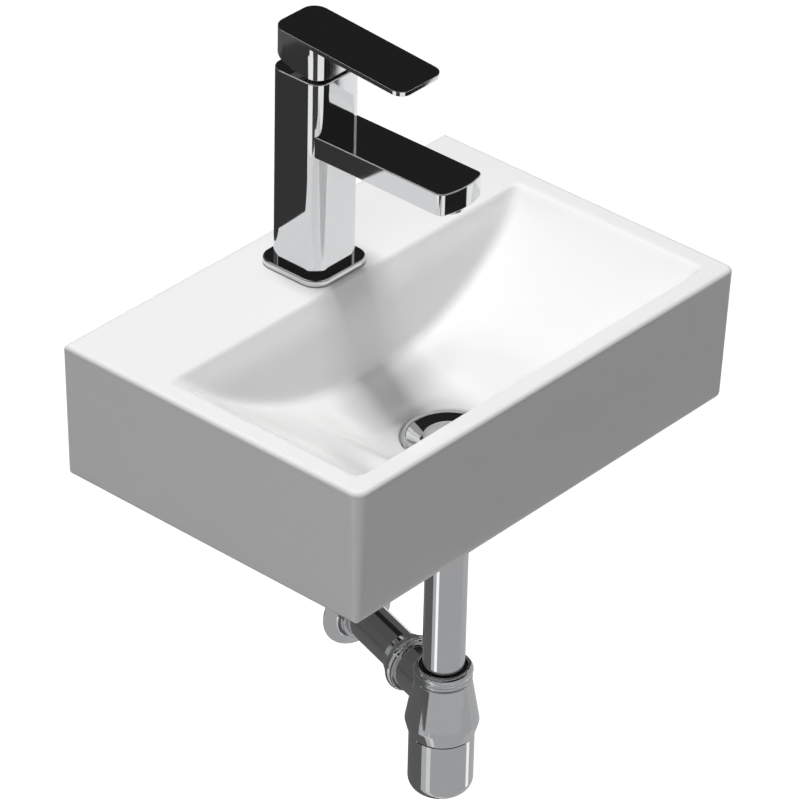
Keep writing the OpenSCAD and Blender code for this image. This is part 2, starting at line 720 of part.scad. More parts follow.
// The lever: block over the column, blade and rib, cut to the plan outline
module lever() color(chrome) at_tap() difference() {
    intersection() {
        plate(tongue(lever_w, lever_w / 2, lever_reach, blade_tip_r, body_r), body_top, lever_top);
        union() {
            prism_x([[lever_w, lever_top], [lever_w / 2, lever_top],
                [-lever_reach - cut, lever_top - lever_droop],
                [-lever_reach - cut, lever_top - lever_droop - blade_t],
                [lever_w / 2, lever_top - blade_t], [lever_w, lever_top - blade_t]], lever_w);
            intersection() {
                plate(rounded_rect(lever_w, lever_w, body_r), body_top, lever_top);
                prism_x(concat([[lever_w / 2, lever_top], [-lever_w / 2, lever_top - lever_slope * lever_w]],
                    curve([-lever_w / 2, block_low], [lever_w / 9, block_low],
                        [lever_w / 2, block_low + relief_h])), lever_w);
            }
            prism_x([[0, lever_top - lever_slope * lever_w / 2],
                [-lever_reach + 6, lever_top - lever_droop - blade_t / 2],
                [-lever_reach + 6, lever_top - lever_droop - blade_t],
                [-lever_w / 2, lever_top - lever_slope * lever_w - rib_t],
                [0, lever_top - lever_slope * lever_w - rib_t]], rib_w);
        }
    }
    translate([0, 0, (block_low + socket_top) / 2]) cube([spindle_w + 2 * seat_gap,
        spindle_w + 2 * seat_gap, socket_top - block_low + 2 * cut], center = true);
    translate([0, 0, grub_z]) rotate([-90, 0, 0]) {
        disc(grub_r + seat_gap / 2, 0, lever_w);
        disc(cap_r + seat_gap / 2, lever_w / 2 - cap_t, lever_w);
    }
}
module lever_screw() color(steel) at_tap() translate([0, 0, grub_z]) rotate([-90, 0, 0])
    difference() {
        disc(grub_r, spindle_w / 2 + seat_gap / 2, spindle_w / 2 + grub_len);
        translate([0, 0, spindle_w / 2 + grub_len - 3]) cylinder(r = grub_r / 2, h = 4, $fn = 6);
    }
module screw_cap() color(chrome) at_tap() translate([0, 0, grub_z]) rotate([-90, 0, 0])
    disc(cap_r, lever_w / 2 - cap_t, lever_w / 2 - seat_gap);

module tap_stud() color(steel) at_tap() translate([0, stud_back, 0])
    disc(stud_r, -wall_t - stud_below, body_low + stud_thread);
module horseshoe(r, low, high) difference() {
    disc(r, low, high);
    translate([-slot_w / 2, -2 * r, low - cut])
        cube([slot_w, 2 * r + stud_back - stud_r - 2, high - low + 2 * cut]);
    translate([0, stud_back, 0]) disc(stud_r + seat_gap, low - cut, high + cut);
}
module fixing_gasket() color(rubber) at_tap() horseshoe(gasket_r, -wall_t - gasket_t, -wall_t);
module fixing_plate() color(steel) at_tap()
    horseshoe(gasket_r, -wall_t - gasket_t - plate_t, -wall_t - gasket_t);
module tap_nut() color(brass) at_tap() translate([0, stud_back, 0])
    hexagon(long_nut_af, stud_r + seat_gap / 2, -wall_t - gasket_t - plate_t - long_nut_h,
        -wall_t - gasket_t - plate_t);

module flange_seal() color(rubber) at_drain()
    ring(flange_d / 2 - 0.5, flange_d / 2 - 2.6, recess_z, flange_low_z);
module waste_flange() color(chrome) at_drain() rotate_extrude(angle = 360) polygon([
    [waste_bore_d / 2, waste_end_z],
    [waste_thread_d / 2, waste_end_z],
    [waste_thread_d / 2, ledge_z - flange_t],
    [flange_d / 2 - 3.4, flange_low_z - 0.4],
    [flange_d / 2 - 3.4, flange_low_z],
    [flange_d / 2, flange_low_z],
    [flange_d / 2, flange_low_z + flange_t / 2],
    [flange_d / 2 - 1.5, flange_top_z],
    [flange_d / 2 - 3.5, flange_top_z],
    [plug_d / 2 + 3, ledge_z + 2],
    [plug_d / 2 + 0.8, ledge_z],
    [waste_bore_d / 2, ledge_z]]);
module click_body() color(plastic) at_drain() {
    difference() {
        disc(hub_r, hub_top_z - hub_h, hub_top_z);
        disc(stem_r + run_gap, hub_top_z - hub_h - cut, hub_top_z + cut);
        disc(spring_r + wire_r + pass_gap, hub_top_z - spring_pocket, hub_top_z + cut);
    }
    for (turn = [90, 210, 330]) rotate([0, 0, turn])
        translate([stem_r + 2, -1.5, hub_top_z - hub_h])
            cube([waste_bore_d / 2 - stem_r - 2 - seat_gap, 3, 4]);
}
// The spring is one helix of six sided rings between the hub's pocket and the stem's collar
spring_low = hub_top_z - spring_pocket + wire_r;
spring_high = hub_top_z - wire_r - 0.2;
spring_rings = spring_turns * 12;
function spring_point(i, k) = let(
    a = 360 * spring_turns * i / spring_rings,
    z = spring_low + (spring_high - spring_low) * i / spring_rings,
    r = spring_r + wire_r * cos(60 * k))
    [r * cos(a), r * sin(a), z + wire_r * sin(60 * k)];
spring_points = [for (i = [0:spring_rings]) for (k = [0:5]) spring_point(i, k)];
spring_faces = concat([[5, 4, 3, 2, 1, 0]],
    [for (i = [0:spring_rings - 1]) for (k = [0:5]) let(a = i * 6 + k, b = i * 6 + (k + 1) % 6)
        each [[a, b, a + 6], [b, b + 6, a + 6]]],
    [[for (k = [0:5]) spring_rings * 6 + k]]);
module click_spring() color(steel) at_drain() polyhedron(spring_points, spring_faces);
module plug_stem() color(steel) at_drain() union() {
    disc(stem_r, plug_low_z - stem_len, plug_low_z);
    disc(spring_r + wire_r, hub_top_z + seat_gap, plug_low_z - plug_seal_t - 2);
}
module waste_plug() color(chrome) at_drain() rotate_extrude(angle = 360) polygon(concat(
    [[0, plug_low_z], [plug_d / 2 - 0.5, plug_low_z], [plug_d / 2, plug_low_z + 0.6]],
    [for (a = [0:15:90]) [plug_d / 2 - 2 + 2 * cos(a), plug_top_z - 1.6 + 1.2 * sin(a)]],
    [[0, plug_top_z]]));
module plug_seal() color(rubber) at_drain()
    ring(waste_bore_d / 2 + 2, waste_bore_d / 2 - 3, plug_low_z - plug_seal_t, plug_low_z);
module waste_gasket() color(rubber) at_drain()
    ring(waste_gasket_d / 2, waste_thread_d / 2 + seat_gap, backnut_top_z, seat_under_z);
module waste_backnut() color(brass) at_drain()
    hexagon(backnut_af, waste_thread_d / 2 + seat_gap / 2, backnut_top_z - backnut_h, backnut_top_z);

module tailpipe_washer() color(rubber) at_drain()
    ring(waste_thread_d / 2 - 0.3, waste_bore_d / 2 - 2, waste_end_z - pipe_washer_t, waste_end_z);
module tailpipe() color(chrome) at_drain() difference() {
    union() {
        disc(pipe_d / 2, pipe_flange_z + pipe_flange_t - tailpipe_len, pipe_flange_z + 0.5);
        disc(waste_thread_d / 2 - 0.5, pipe_flange_z, pipe_flange_z + pipe_flange_t);
    }
    disc(pipe_d / 2 - pipe_wall, -2 * trap_drop, 0);
}
module tailpipe_nut() color(chrome) at_drain() difference() {
    translate([0, 0, pipe_flange_z - pipe_nut_lip]) cylinder(r = pipe_nut_af / 2 / cos(30),
        h = pipe_nut_lip + pipe_flange_t + pipe_washer_t + pipe_nut_grip, $fn = 6);
    disc(pipe_d / 2 + seat_gap, -2 * trap_drop, 0);
    disc(waste_thread_d / 2 + seat_gap / 2, pipe_flange_z, 0);
}

module inlet_nut() color(chrome) at_drain() rotate_extrude(angle = 360) polygon(concat(
    [[neck_d / 2 + seat_gap, cone_top_z], [inlet_nut_d / 2 - 1.5, cone_top_z],
    [inlet_nut_d / 2 - 0.4, cone_top_z + 1.5]],
    [for (a = [-40:20:90]) [inlet_nut_d / 2 - inlet_lip + inlet_lip * cos(a),
        neck_top_z + inlet_lip * sin(a)]],
    [[pipe_d / 2 + 3, -trap_drop], [pipe_d / 2 + 2.2, -trap_drop - 1],
    [pipe_d / 2 + 2.2, neck_top_z], [neck_d / 2 + seat_gap, neck_top_z]]));
module inlet_seal() color(rubber) at_drain() rotate_extrude(angle = 360) polygon([
    [pipe_d / 2 + run_gap, neck_top_z - seal_len], [neck_bore_r - seat_gap, neck_top_z - seal_len],
    [neck_bore_r - seat_gap, neck_top_z], [pipe_d / 2 + 2, neck_top_z],
    [pipe_d / 2 + 2, neck_top_z + 1], [pipe_d / 2 + run_gap, neck_top_z + 1]]);
module trap_outside() rotate_extrude(angle = 360) polygon([
    [0, trap_low_z],
    [cup_d / 2, trap_low_z],
    [cup_d / 2 + 1, trap_low_z + 2],
    [trap_d / 2, cone_low_z - 2],
    [trap_d / 2, cone_low_z],
    [trap_d / 2 - 0.3, cone_low_z + 2],
    [inlet_nut_d / 2 - 1, cone_top_z - seat_gap - 1],
    [neck_d / 2, cone_top_z - seat_gap],
    [neck_d / 2, neck_top_z - seat_gap],
    [0, neck_top_z - seat_gap]]);
module trap_inside() rotate_extrude(angle = 360) polygon([
    [0, trap_low_z - cut],
    [cup_neck_r + run_gap, trap_low_z - cut],
    [cup_neck_r + run_gap, cup_ledge_z],
    [cup_in_r - 2, cup_ledge_z],
    [cup_in_r - 2, cup_ledge_z + 2],
    [trap_d / 2 - 3.5, cup_ledge_z + 4],
    [neck_d / 2 - 0.5, cone_top_z - 5],
    [pipe_d / 2 + run_gap, cone_top_z - 3],
    [pipe_d / 2 + run_gap, neck_top_z - seal_len - seat_gap],
    [neck_bore_r, neck_top_z - seal_len - seat_gap],
    [neck_bore_r, neck_top_z + cut],
    [0, neck_top_z + cut]]);
// The branch, with a seat cut into its root for the inlet nut
module trap_branch() difference() {
    at_outlet() disc(neck_d / 2, 0, branch_len);
    at_drain() disc(inlet_nut_d / 2 + pass_gap, cone_top_z - seat_gap, 0);
}
module trap_body() color(chrome) difference() {
    union() {
        at_drain() trap_outside();
        trap_branch();
    }
    at_drain() trap_inside();
    at_outlet() {
        disc(pipe_d / 2 - pipe_wall - 2, trap_d / 3, outlet_start);
        disc(pipe_d / 2 + seat_gap, outlet_start - 2, branch_len + cut);
        disc(neck_bore_r, branch_len - seal_len, branch_len + cut);
    }
}
module cup_seal() color(rubber) at_drain()
    ring(cup_neck_r - seat_gap, cup_in_r - 0.6, cup_top_z + cup_neck_h,
        cup_top_z + cup_neck_h + cup_seal_t);
module trap_cup() color(chrome) at_drain() rotate_extrude(angle = 360) polygon(concat(
    [[0, cup_low_z]],
    [for (a = [-90:15:0]) [cup_d / 2 - cup_round + cup_round * cos(a),
        cup_low_z + cup_round + cup_round * sin(a)]],
    [[cup_d / 2, cup_top_z], [cup_neck_r, cup_top_z],
    [cup_neck_r, cup_top_z + cup_neck_h],
    [cup_in_r, cup_top_z + cup_neck_h]],
    [for (a = [0:-15:-90]) [cup_in_r - cup_round + cup_wall + (cup_round - cup_wall) * cos(a),
        cup_low_z + cup_round + (cup_round - cup_wall) * sin(a)]],
    [[0, cup_low_z + cup_wall]]));

module outlet_nut() color(chrome) at_outlet() rotate_extrude(angle = 360) polygon(concat(
    [[neck_d / 2 + seat_gap, branch_len - outlet_band + 2],
    [outlet_nut_d / 2 - 2, branch_len - outlet_band + 2]],
    [for (a = [-60:20:60]) [outlet_nut_d / 2 - 2.5 + 2.5 * cos(a),
        branch_len - outlet_band / 2 + 2 + 3 * sin(a)]],
    [[outlet_nut_d / 2 - 2, branch_len + 2], [neck_d / 2 + 1.5, branch_len + 2.5],
    [pipe_d / 2 + 1.6, branch_len + 2 + outlet_taper],
    [pipe_d / 2 + seat_gap, branch_len + 2 + outlet_taper],
    [pipe_d / 2 + seat_gap, branch_len + seat_gap],
    [neck_d / 2 + seat_gap, branch_len + seat_gap]]));
module outlet_seal() color(rubber) at_outlet()
    ring(neck_bore_r - seat_gap, pipe_d / 2 + seat_gap / 2, branch_len - seal_len, branch_len);
module outlet_pipe() color(chrome) at_outlet() difference() {
    union() {
        disc(pipe_d / 2, outlet_start, outlet_end - spigot_len);
        disc(pipe_d / 2 - spigot_step, outlet_start, outlet_end);
    }
    disc(pipe_d / 2 - pipe_wall, outlet_start - cut, outlet_end + cut);
}
module wall_rosette() color(chrome) at_outlet() rotate_extrude(angle = 360) polygon([
    [pipe_d / 2 + run_gap, rosette_in],
    [rosette_hub_d / 2 - 1, rosette_in],
    [rosette_hub_d / 2, rosette_in + 1],
    [rosette_hub_d / 2 + 0.5, rosette_at - rosette_h / 2],
    [rosette_d / 2 - 5, rosette_at - 3.5],
    [rosette_d / 2, rosette_at - 1],
    [rosette_d / 2, rosette_at],
    [rosette_d / 2 - 1.5, rosette_at],
    [rosette_d / 2 - 6, rosette_at - 3.5 + rosette_t],
    [rosette_hub_d / 2 - 1, rosette_at - rosette_h / 2 + rosette_t + 0.5],
    [pipe_d / 2 + run_gap, rosette_at - rosette_h / 2 + rosette_t]]);

basin();
hanger_bolts();
bolt_bushes();
bolt_washers();
bolt_nuts();
base_seal();
base_ring();
tap_body();
aerator_housing();
aerator_insert();
aerator_seal();
cartridge_seal();
cartridge_body();
fixed_disc();
moving_disc();
cartridge_rotor();
pivot_pin();
lever_spindle();
cartridge_nut();
lever();
lever_screw();
screw_cap();
tap_stud();
fixing_gasket();
fixing_plate();
tap_nut();
flange_seal();
waste_flange();
click_body();
click_spring();
plug_stem();
waste_plug();
plug_seal();
waste_gasket();
waste_backnut();
tailpipe_washer();
tailpipe();
tailpipe_nut();
inlet_nut();
inlet_seal();
trap_body();
cup_seal();
trap_cup();
outlet_nut();
outlet_seal();
outlet_pipe();
wall_rosette();
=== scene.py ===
"""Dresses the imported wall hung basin: glazed bowl, chromed tap, waste and bottle trap."""
import json
import math
import bmesh
import bpy
import numpy as np
from mathutils import Matrix, Vector


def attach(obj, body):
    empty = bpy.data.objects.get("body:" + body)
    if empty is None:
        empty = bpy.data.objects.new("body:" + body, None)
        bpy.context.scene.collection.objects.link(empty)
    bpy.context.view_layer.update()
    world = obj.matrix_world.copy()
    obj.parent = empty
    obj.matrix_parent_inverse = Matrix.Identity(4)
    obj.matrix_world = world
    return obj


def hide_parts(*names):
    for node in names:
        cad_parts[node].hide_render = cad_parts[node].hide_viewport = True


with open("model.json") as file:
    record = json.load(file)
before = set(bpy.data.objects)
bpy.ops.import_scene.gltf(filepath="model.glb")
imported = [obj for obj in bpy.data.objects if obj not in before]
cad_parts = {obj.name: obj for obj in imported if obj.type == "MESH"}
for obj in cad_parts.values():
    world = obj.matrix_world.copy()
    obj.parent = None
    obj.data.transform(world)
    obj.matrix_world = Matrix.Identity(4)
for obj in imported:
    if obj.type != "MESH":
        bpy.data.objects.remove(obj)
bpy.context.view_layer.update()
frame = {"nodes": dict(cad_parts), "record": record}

MM = 0.001
# Lengths are in mm, heights are above the rim, and "out" is the distance from the wall. The
# stage, its lights and its cards are in metres from the frame's origin.
RIM = 55.0  # the rim above the frame's origin
TAP = 52.0  # the tap's axis, out from the wall
NOZZLE = TAP + 128.0  # the axis of the spout's nozzle
WASTE = 186.0  # the axis of waste, tailpipe and trap
BRANCH = -319.0  # height of the trap's side branch
OUTLET_TURN = math.radians(-17)  # how far the outlet is turned from square to the wall
PITCH = 2.309  # pitch of the waste's and the trap's threads
CLOSE = 112  # steps round a turned piece that is seen from close by
FLOOR_UP = -0.80  # the stage's floor
CARD_UP = FLOOR_UP + 0.02  # the cards that lie just above it


def place(x, out, up):
    """A point in the frame, from mm along the wall, out from the wall and above the rim."""
    return Vector((x * MM, -out * MM, (up + RIM) * MM))


def place_object(name, data):
    """A new object of the scene, at the origin."""
    made = bpy.data.objects.new(name, data)
    bpy.context.scene.collection.objects.link(made)
    return made


# ---------------------------------------------------------------- camera

def add_camera():
    """The photo's camera, placed from the middle of the rim's edge at the wall."""
    azimuth, elevation, roll = (math.radians(a) for a in (-49.188, 32.943, 1.34))
    distance, slide_right, slide_up = 3984.3, 101.2, -120.0
    focal_px, picture_px, sensor = 5460.4, 800, 36.0
    back = Vector((math.sin(azimuth) * math.cos(elevation),
                   -math.cos(azimuth) * math.cos(elevation), math.sin(elevation)))
    right = Vector((0, 0, 1)).cross(back).normalized()
    up = back.cross(right)
    turned_right = right * math.cos(roll) + up * math.sin(roll)
    turned_up = up * math.cos(roll) - right * math.sin(roll)
    data = bpy.data.cameras.new("camera")
    data.sensor_width = sensor
    data.lens = sensor * focal_px / picture_px
    camera = place_object("camera", data)
    spot = back * distance + turned_right * slide_right + turned_up * slide_up
    camera.matrix_world = Matrix.Translation(spot * MM + place(0, 0, 0)) @ Matrix(
        (turned_right, turned_up, back)).transposed().to_4x4()
    bpy.context.scene.camera = camera


# ---------------------------------------------------------------- finishes

class Wire:
    """One output socket. Arithmetic on it adds Math nodes."""

    def __init__(self, nodes, socket):
        self.nodes = nodes
        self.socket = socket

    def math(self, operation, a, b):
        return self.nodes.add("ShaderNodeMath", {0: a, 1: b}, operation=operation)

    def __add__(self, other):
        return self.math("ADD", self, other)

    def __mul__(self, other):
        return self.math("MULTIPLY", self, other)

    def __rsub__(self, other):
        return self.math("SUBTRACT", other, self)

    def above(self, other):
        return self.math("MAXIMUM", self, other)

    __radd__ = __add__
    __rmul__ = __mul__


class Nodes:
    """A node tree that is emptied and then filled by code."""

    def __init__(self, tree):
        self.tree = tree
        self.tree.nodes.clear()

    def add(self, kind, inputs=None, output=0, **settings):
        """Adds a node with its settings, then the values or links of its sockets."""
        node = self.tree.nodes.new(kind)
        for name, value in settings.items():
            setattr(node, name, value)
        for socket, value in (inputs or {}).items():
            self.feed(node.inputs[socket], value)
        return Wire(self, node.outputs[output])

    def feed(self, socket, value):
        if isinstance(value, Wire):
            self.tree.links.new(value.socket, socket)
        else:
            socket.default_value = value

    def sees_white(self):
        """One for the rays that see the white background, straight or in metal and glass."""
        rays = self.add("ShaderNodeLightPath", output="Is Camera Ray")
        for kind in ("Is Glossy Ray", "Is Transmission Ray"):
            rays = rays.above(self.add("ShaderNodeLightPath", output=kind))
        return rays


class Finish(Nodes):
    """A material of one principled shader. Constants go on its own sockets."""

    def __init__(self, name, **constants):
        self.material = bpy.data.materials.new(name)
        self.material.use_nodes = True
        super().__init__(self.material.node_tree)
        self.shader = self.tree.nodes.new("ShaderNodeBsdfPrincipled")
        surface = self.tree.nodes.new("ShaderNodeOutputMaterial")
        self.tree.links.new(self.shader.outputs[0], surface.inputs[0])
        for socket, value in constants.items():
            self.set(socket.replace("_", " "), value)
        self.spot = self.add("ShaderNodeTexCoord", output="Object")

    def set(self, socket, value):
        if isinstance(value, tuple):
            value = (*value, 1.0)
        self.feed(self.shader.inputs[socket], value)

    def stretched(self, x, y, z):
        return self.add("ShaderNodeMapping", {"Vector": self.spot, "Scale": (x, y, z)})

    def noise(self, scale, detail, vector=None):
        return self.add("ShaderNodeTexNoise",
                        {"Vector": vector or self.spot, "Scale": scale, "Detail": detail})

    def mix(self, factor, a, b):
        """A colour between two, by a factor from 0 to 1."""
        return self.add("ShaderNodeMix", {0: factor, 6: (*a, 1.0), 7: (*b, 1.0)}, output=2,
                        data_type="RGBA")

    def bump(self, height, distance, strength):
        self.set("Normal", self.add("ShaderNodeBump", {
            "Strength": strength, "Distance": distance, "Height": height}))


def make_glaze():
    """White sanitary glaze: a clear coat over a slightly uneven white body."""
    glaze = Finish("white_glaze", Specular_IOR_Level=0.3, Coat_Weight=0.4, Coat_Roughness=0.03)
    cloud = glaze.noise(9.0, 2.0)
    glaze.set("Base Color", glaze.mix(cloud, (0.875, 0.875, 0.872), (0.905, 0.905, 0.90)))
    glaze.set("Roughness", 0.16 + 0.08 * glaze.noise(38.0, 3.0))
    glaze.bump(glaze.noise(55.0, 2.0) + 0.15 * glaze.noise(700.0, 1.0), 0.00016, 0.5)
    return glaze.material


def make_chrome():
    """Polished chrome plate with a faint haze and the slight waviness of a polished casting."""
    chrome = Finish("polished_chrome", Metallic=1.0)
    haze = chrome.noise(160.0, 4.0)
    chrome.set("Base Color", chrome.mix(haze, (0.66, 0.67, 0.685), (0.71, 0.715, 0.725)))
    wipes = chrome.noise(60.0, 6.0, chrome.stretched(14, 1, 3))
    chrome.set("Roughness", 0.035 + 0.05 * wipes * haze)
    chrome.bump(chrome.noise(42.0, 1.0) + 0.04 * wipes, 0.00012, 0.35)
    return chrome.material


def make_brass():
    """Turned brass: fine tool lines and a slightly dulled surface."""
    brass = Finish("turned_brass", Metallic=1.0)
    tone = brass.noise(70.0, 3.0)
    brass.set("Base Color", brass.mix(tone, (0.62, 0.44, 0.17), (0.78, 0.60, 0.28)))
    lines = brass.noise(900.0, 2.0, brass.stretched(0.15, 0.15, 3.0))
    brass.set("Roughness", 0.22 + 0.16 * lines)
    brass.bump(lines, 0.00005, 0.6)
    return brass.material


def make_steel():
    """Zinc plated steel with a brushed grain."""
    steel = Finish("plated_steel", Metallic=1.0)
    tone = steel.noise(110.0, 4.0)
    steel.set("Base Color", steel.mix(tone, (0.48, 0.49, 0.50), (0.66, 0.67, 0.68)))
    grain = steel.noise(1400.0, 2.0, steel.stretched(1.0, 0.1, 0.4))
    steel.set("Roughness", 0.26 + 0.2 * grain)
    steel.bump(grain, 0.00004, 0.5)
    return steel.material


def make_rubber():
    """Black moulded rubber with a chalky bloom."""
    rubber = Finish("black_rubber")
    bloom = rubber.noise(130.0, 4.0)
    rubber.set("Base Color", rubber.mix(bloom, (0.018, 0.018, 0.018), (0.05, 0.05, 0.052)))
    rubber.set("Roughness", 0.66 + 0.22 * bloom)
    rubber.bump(rubber.noise(1500.0, 2.0), 0.0001, 0.4)
    return rubber.material


def make_plastic():
    """Moulded light plastic with a fine spark texture."""
    plastic = Finish("moulded_plastic")
    tone = plastic.noise(60.0, 2.0)
    plastic.set("Base Color", plastic.mix(tone, (0.66, 0.66, 0.63), (0.74, 0.74, 0.71)))
    spark = plastic.noise(2200.0, 2.0)
    plastic.set("Roughness", 0.42 + 0.16 * spark)
    plastic.bump(spark, 0.00003, 0.5)
    return plastic.material


def make_disc_ceramic():
    """Lapped alumina, warm white and close to a mirror on the flats."""
    alumina = Finish("lapped_alumina")
    tone = alumina.noise(240.0, 3.0)
    alumina.set("Base Color", alumina.mix(tone, (0.80, 0.77, 0.70), (0.86, 0.84, 0.78)))
    alumina.set("Roughness", 0.18 + 0.12 * tone)
    alumina.bump(alumina.noise(1800.0, 1.0), 0.00001, 0.4)
    return alumina.material


FINISHES = {
    "glaze": make_glaze(), "chrome": make_chrome(), "brass": make_brass(), "steel": make_steel(),
    "rubber": make_rubber(), "plastic": make_plastic(), "disc_ceramic": make_disc_ceramic()}


# ---------------------------------------------------------------- shaping tools

def finish_piece(name, bm, body, slot, nodes, sharp=35.0, weighted=True):
    """Makes the object of a new piece, in its finish, on its body and in place of its nodes.

    Edges that turn by more than sharp degrees stay crisp, and weighted keeps flat faces flat.
    """
    mesh = bpy.data.meshes.new(name)
    for face in bm.faces:
        face.smooth = True
    for edge in bm.edges:
        edge.smooth = edge.calc_face_angle(0) < math.radians(sharp)
    bm.to_mesh(mesh)
    bm.free()
    mesh.materials.append(FINISHES[slot])
    piece = place_object(name, mesh)
    if weighted:
        piece.modifiers.new("flat_faces", "WEIGHTED_NORMAL").keep_sharp = True
    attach(piece, body)
    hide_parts(*nodes)


def clean(bm):
    """Merges what lies together and turns all faces outwards."""
    bmesh.ops.remove_doubles(bm, verts=bm.verts, dist=1e-7)
    bmesh.ops.recalc_face_normals(bm, faces=bm.faces)


def soften(bm, width, segments, angle, chosen):
    """Rounds every chosen edge that turns by more than the angle."""
    edges = [e for e in bm.edges if len(e.link_faces) == 2
             and e.calc_face_angle() > math.radians(angle) and chosen(e)]
    bmesh.ops.bevel(bm, geom=edges, offset=width * MM, offset_type="OFFSET", affect="EDGES",
                    segments=segments, profile=0.5, material=-1, clamp_overlap=True)


def arc(r, up, radius, start, end, steps):
    """Profile points of an arc about (r, up), in degrees."""
    turns = [math.radians(start + (end - start) * i / steps) for i in range(steps + 1)]
    return [(r + radius * math.cos(t), up + radius * math.sin(t)) for t in turns]


def turned(profile, steps=96):
    """A closed shape turned about Z from a closed profile of (radius, height) in mm."""
    bm = bmesh.new()
    rim = [bm.verts.new((max(r, 0.0) * MM, 0, up * MM)) for r, up in profile]
    edges = [bm.edges.new((a, b)) for a, b in zip(rim, rim[1:] + rim[:1])
             if max(a.co.x, b.co.x) > 1e-9]
    bmesh.ops.spin(bm, geom=rim + edges, axis=(0, 0, 1), cent=(0, 0, 0), angle=2 * math.pi,
                   steps=steps, use_merge=True)
    clean(bm)
    bmesh.ops.dissolve_degenerate(bm, edges=bm.edges, dist=1e-7)
    return bm


def shift(bm, out, up=0.0):
    """Moves a shape made about the origin to its place on the middle line."""
    bmesh.ops.translate(bm, verts=bm.verts, vec=place(0, out, up))
    return bm


def along_outlet(bm):
    """Lays a shape turned about Z along the outlet, with its zero on the trap's axis."""
    laid = Matrix.Rotation(OUTLET_TURN, 4, "Z") @ Matrix.Rotation(-math.pi / 2, 4, "X")
    bmesh.ops.transform(bm, verts=bm.verts,
                        matrix=Matrix.Translation(place(0, WASTE, BRANCH)) @ laid)
    return bm


def joined(a, b, operation="UNION"):
    """Boolean of two shapes with the exact solver, given and returned as bmeshes."""
    objects = []
    for bm in (a, b):
        mesh = bpy.data.meshes.new("part")
        bm.to_mesh(mesh)
        bm.free()
        objects.append(place_object("part", mesh))
    cut = objects[0].modifiers.new("cut", "BOOLEAN")
    cut.object = objects[1]
    cut.operation = operation
    cut.solver = "EXACT"
    bpy.context.view_layer.update()
    made = bpy.data.meshes.new_from_object(
        objects[0].evaluated_get(bpy.context.evaluated_depsgraph_get()))
    bm = bmesh.new()
    bm.from_mesh(made)
    for used in objects:
        bpy.data.objects.remove(used)
    bpy.data.meshes.remove(made)
    clean(bm)
    return bm


def node_copy(node):
    """A merged copy of a CAD node's mesh, with its flat faces made whole again."""
    bm = bmesh.new()
    bm.from_mesh(frame["nodes"][node].data)
    bmesh.ops.remove_doubles(bm, verts=bm.verts, dist=2e-6)
    bmesh.ops.dissolve_limit(bm, angle_limit=math.radians(0.5), verts=bm.verts, edges=bm.edges,
                             use_dissolve_boundaries=False)
    return bm


# ---------------------------------------------------------------- the basin

BASIN_W, BASIN_D, BASIN_H = 410.0, 280.0, 113.0
LEAN = 4.0  # how far the outer walls lean in at the foot
THICK, FLOOR_THICK = 11.0, 9.0
RIM_ROUND, BACK_ROUND, FOOT_ROUND, CORNER = 4.0, 2.0, 6.0, 8.0
BOWL_HALF, SIDE_DEEP, SIDE_CURVE = 187.0, 72.0, 2.3
TROUGH_DEEP, TROUGH_HALF, TROUGH_SIDE, TROUGH_END = 21.0, 30.0, 70.0, 40.0
MOUTH, CREASE, FLOOR_LINE = (86.0, 0.0), (95.5, -19.0), (107.5, -69.0)  # out and up, wall side
FRONT_FOOT, FRONT_MOUTH = (255.0, -93.0), (263.0, 0.0)
WASTE_HOLE, WASTE_CONE, RECESS, BOSS = 23.0, 33.0, 36.75, 42.25
RECESS_UP, CONE_UP, SEAT_UP, BOSS_SLOPE = -95.5, -103.0, -106.0, 4.0
TAP_HOLE = 17.5
BUSH_HOLE, BUSH_DEEP, BUSH_SIDE = 8.0, 20.0, 100.0
LOWEST = -125.0  # below all of the basin


def smooth_low(a, b, k):
    """The lower of two values, rounded over where they are closer than k."""
    t = np.clip(0.5 + 0.5 * (b - a) / k, 0, 1)
    return b * (1 - t) + a * t - k * t * (1 - t)


def smooth_high(a, b, k):
    """The higher of two values, rounded in the same way."""
    return -smooth_low(-a, -b, k)


def plane(a, b):
    """Distance into the bowl from a plane through two points of a section."""
    (out_a, up_a), (out_b, up_b) = a, b
    run, rise = out_b - out_a, up_b - up_a
    length = math.hypot(run, rise)
    return lambda out, up: ((up - up_a) * run - (out - out_a) * rise) / length


UPPER_BAND = plane(MOUTH, CREASE)
LOWER_BAND = plane(CREASE, FLOOR_LINE)
FRONT = plane(FRONT_FOOT, FRONT_MOUTH)


def eased(t):
    """A slope from 0 to 1 with soft ends."""
    t = np.clip(t, 0, 1)
    return t * t * (3 - 2 * t)


def floor_up(x, out):
    """Height of the bowl's floor: two side floors, and a trough that runs down to the waste."""
    trough = 1 - eased((np.abs(x) - TROUGH_HALF) / TROUGH_SIDE)
    trough = trough * eased((out - FLOOR_LINE[0]) / TROUGH_END)
    return SIDE_DEEP * ((np.abs(x) / BOWL_HALF) ** SIDE_CURVE - 1) - TROUGH_DEEP * trough


def bowl_depth_field(x, out, up, grow=0.0, drop=0.0, front=True):
    """How far a point is inside the bowl, with soft creases where its slopes meet."""
    crease_soft, floor_soft, front_soft = 2.0, 7.0, 8.0
    floor_tilt = 0.9  # from a height above the floor to a distance from it
    wall_side = smooth_high(UPPER_BAND(out, up), LOWER_BAND(out, up), crease_soft) + grow
    inside = smooth_low(floor_tilt * (up + drop - floor_up(x, out)), wall_side, floor_soft)
    if front:
        inside = smooth_low(inside, FRONT(out, up), front_soft)
    return inside


def solve_up(field, shape, highest):
    """The heights at which a field that grows with height passes zero."""
    low, high = np.full(shape, LOWEST), np.full(shape, highest)
    for _ in range(34):
        middle = (low + high) / 2
        over = field(middle) > 0
        low, high = np.where(over, low, middle), np.where(over, middle, high)
    return (low + high) / 2


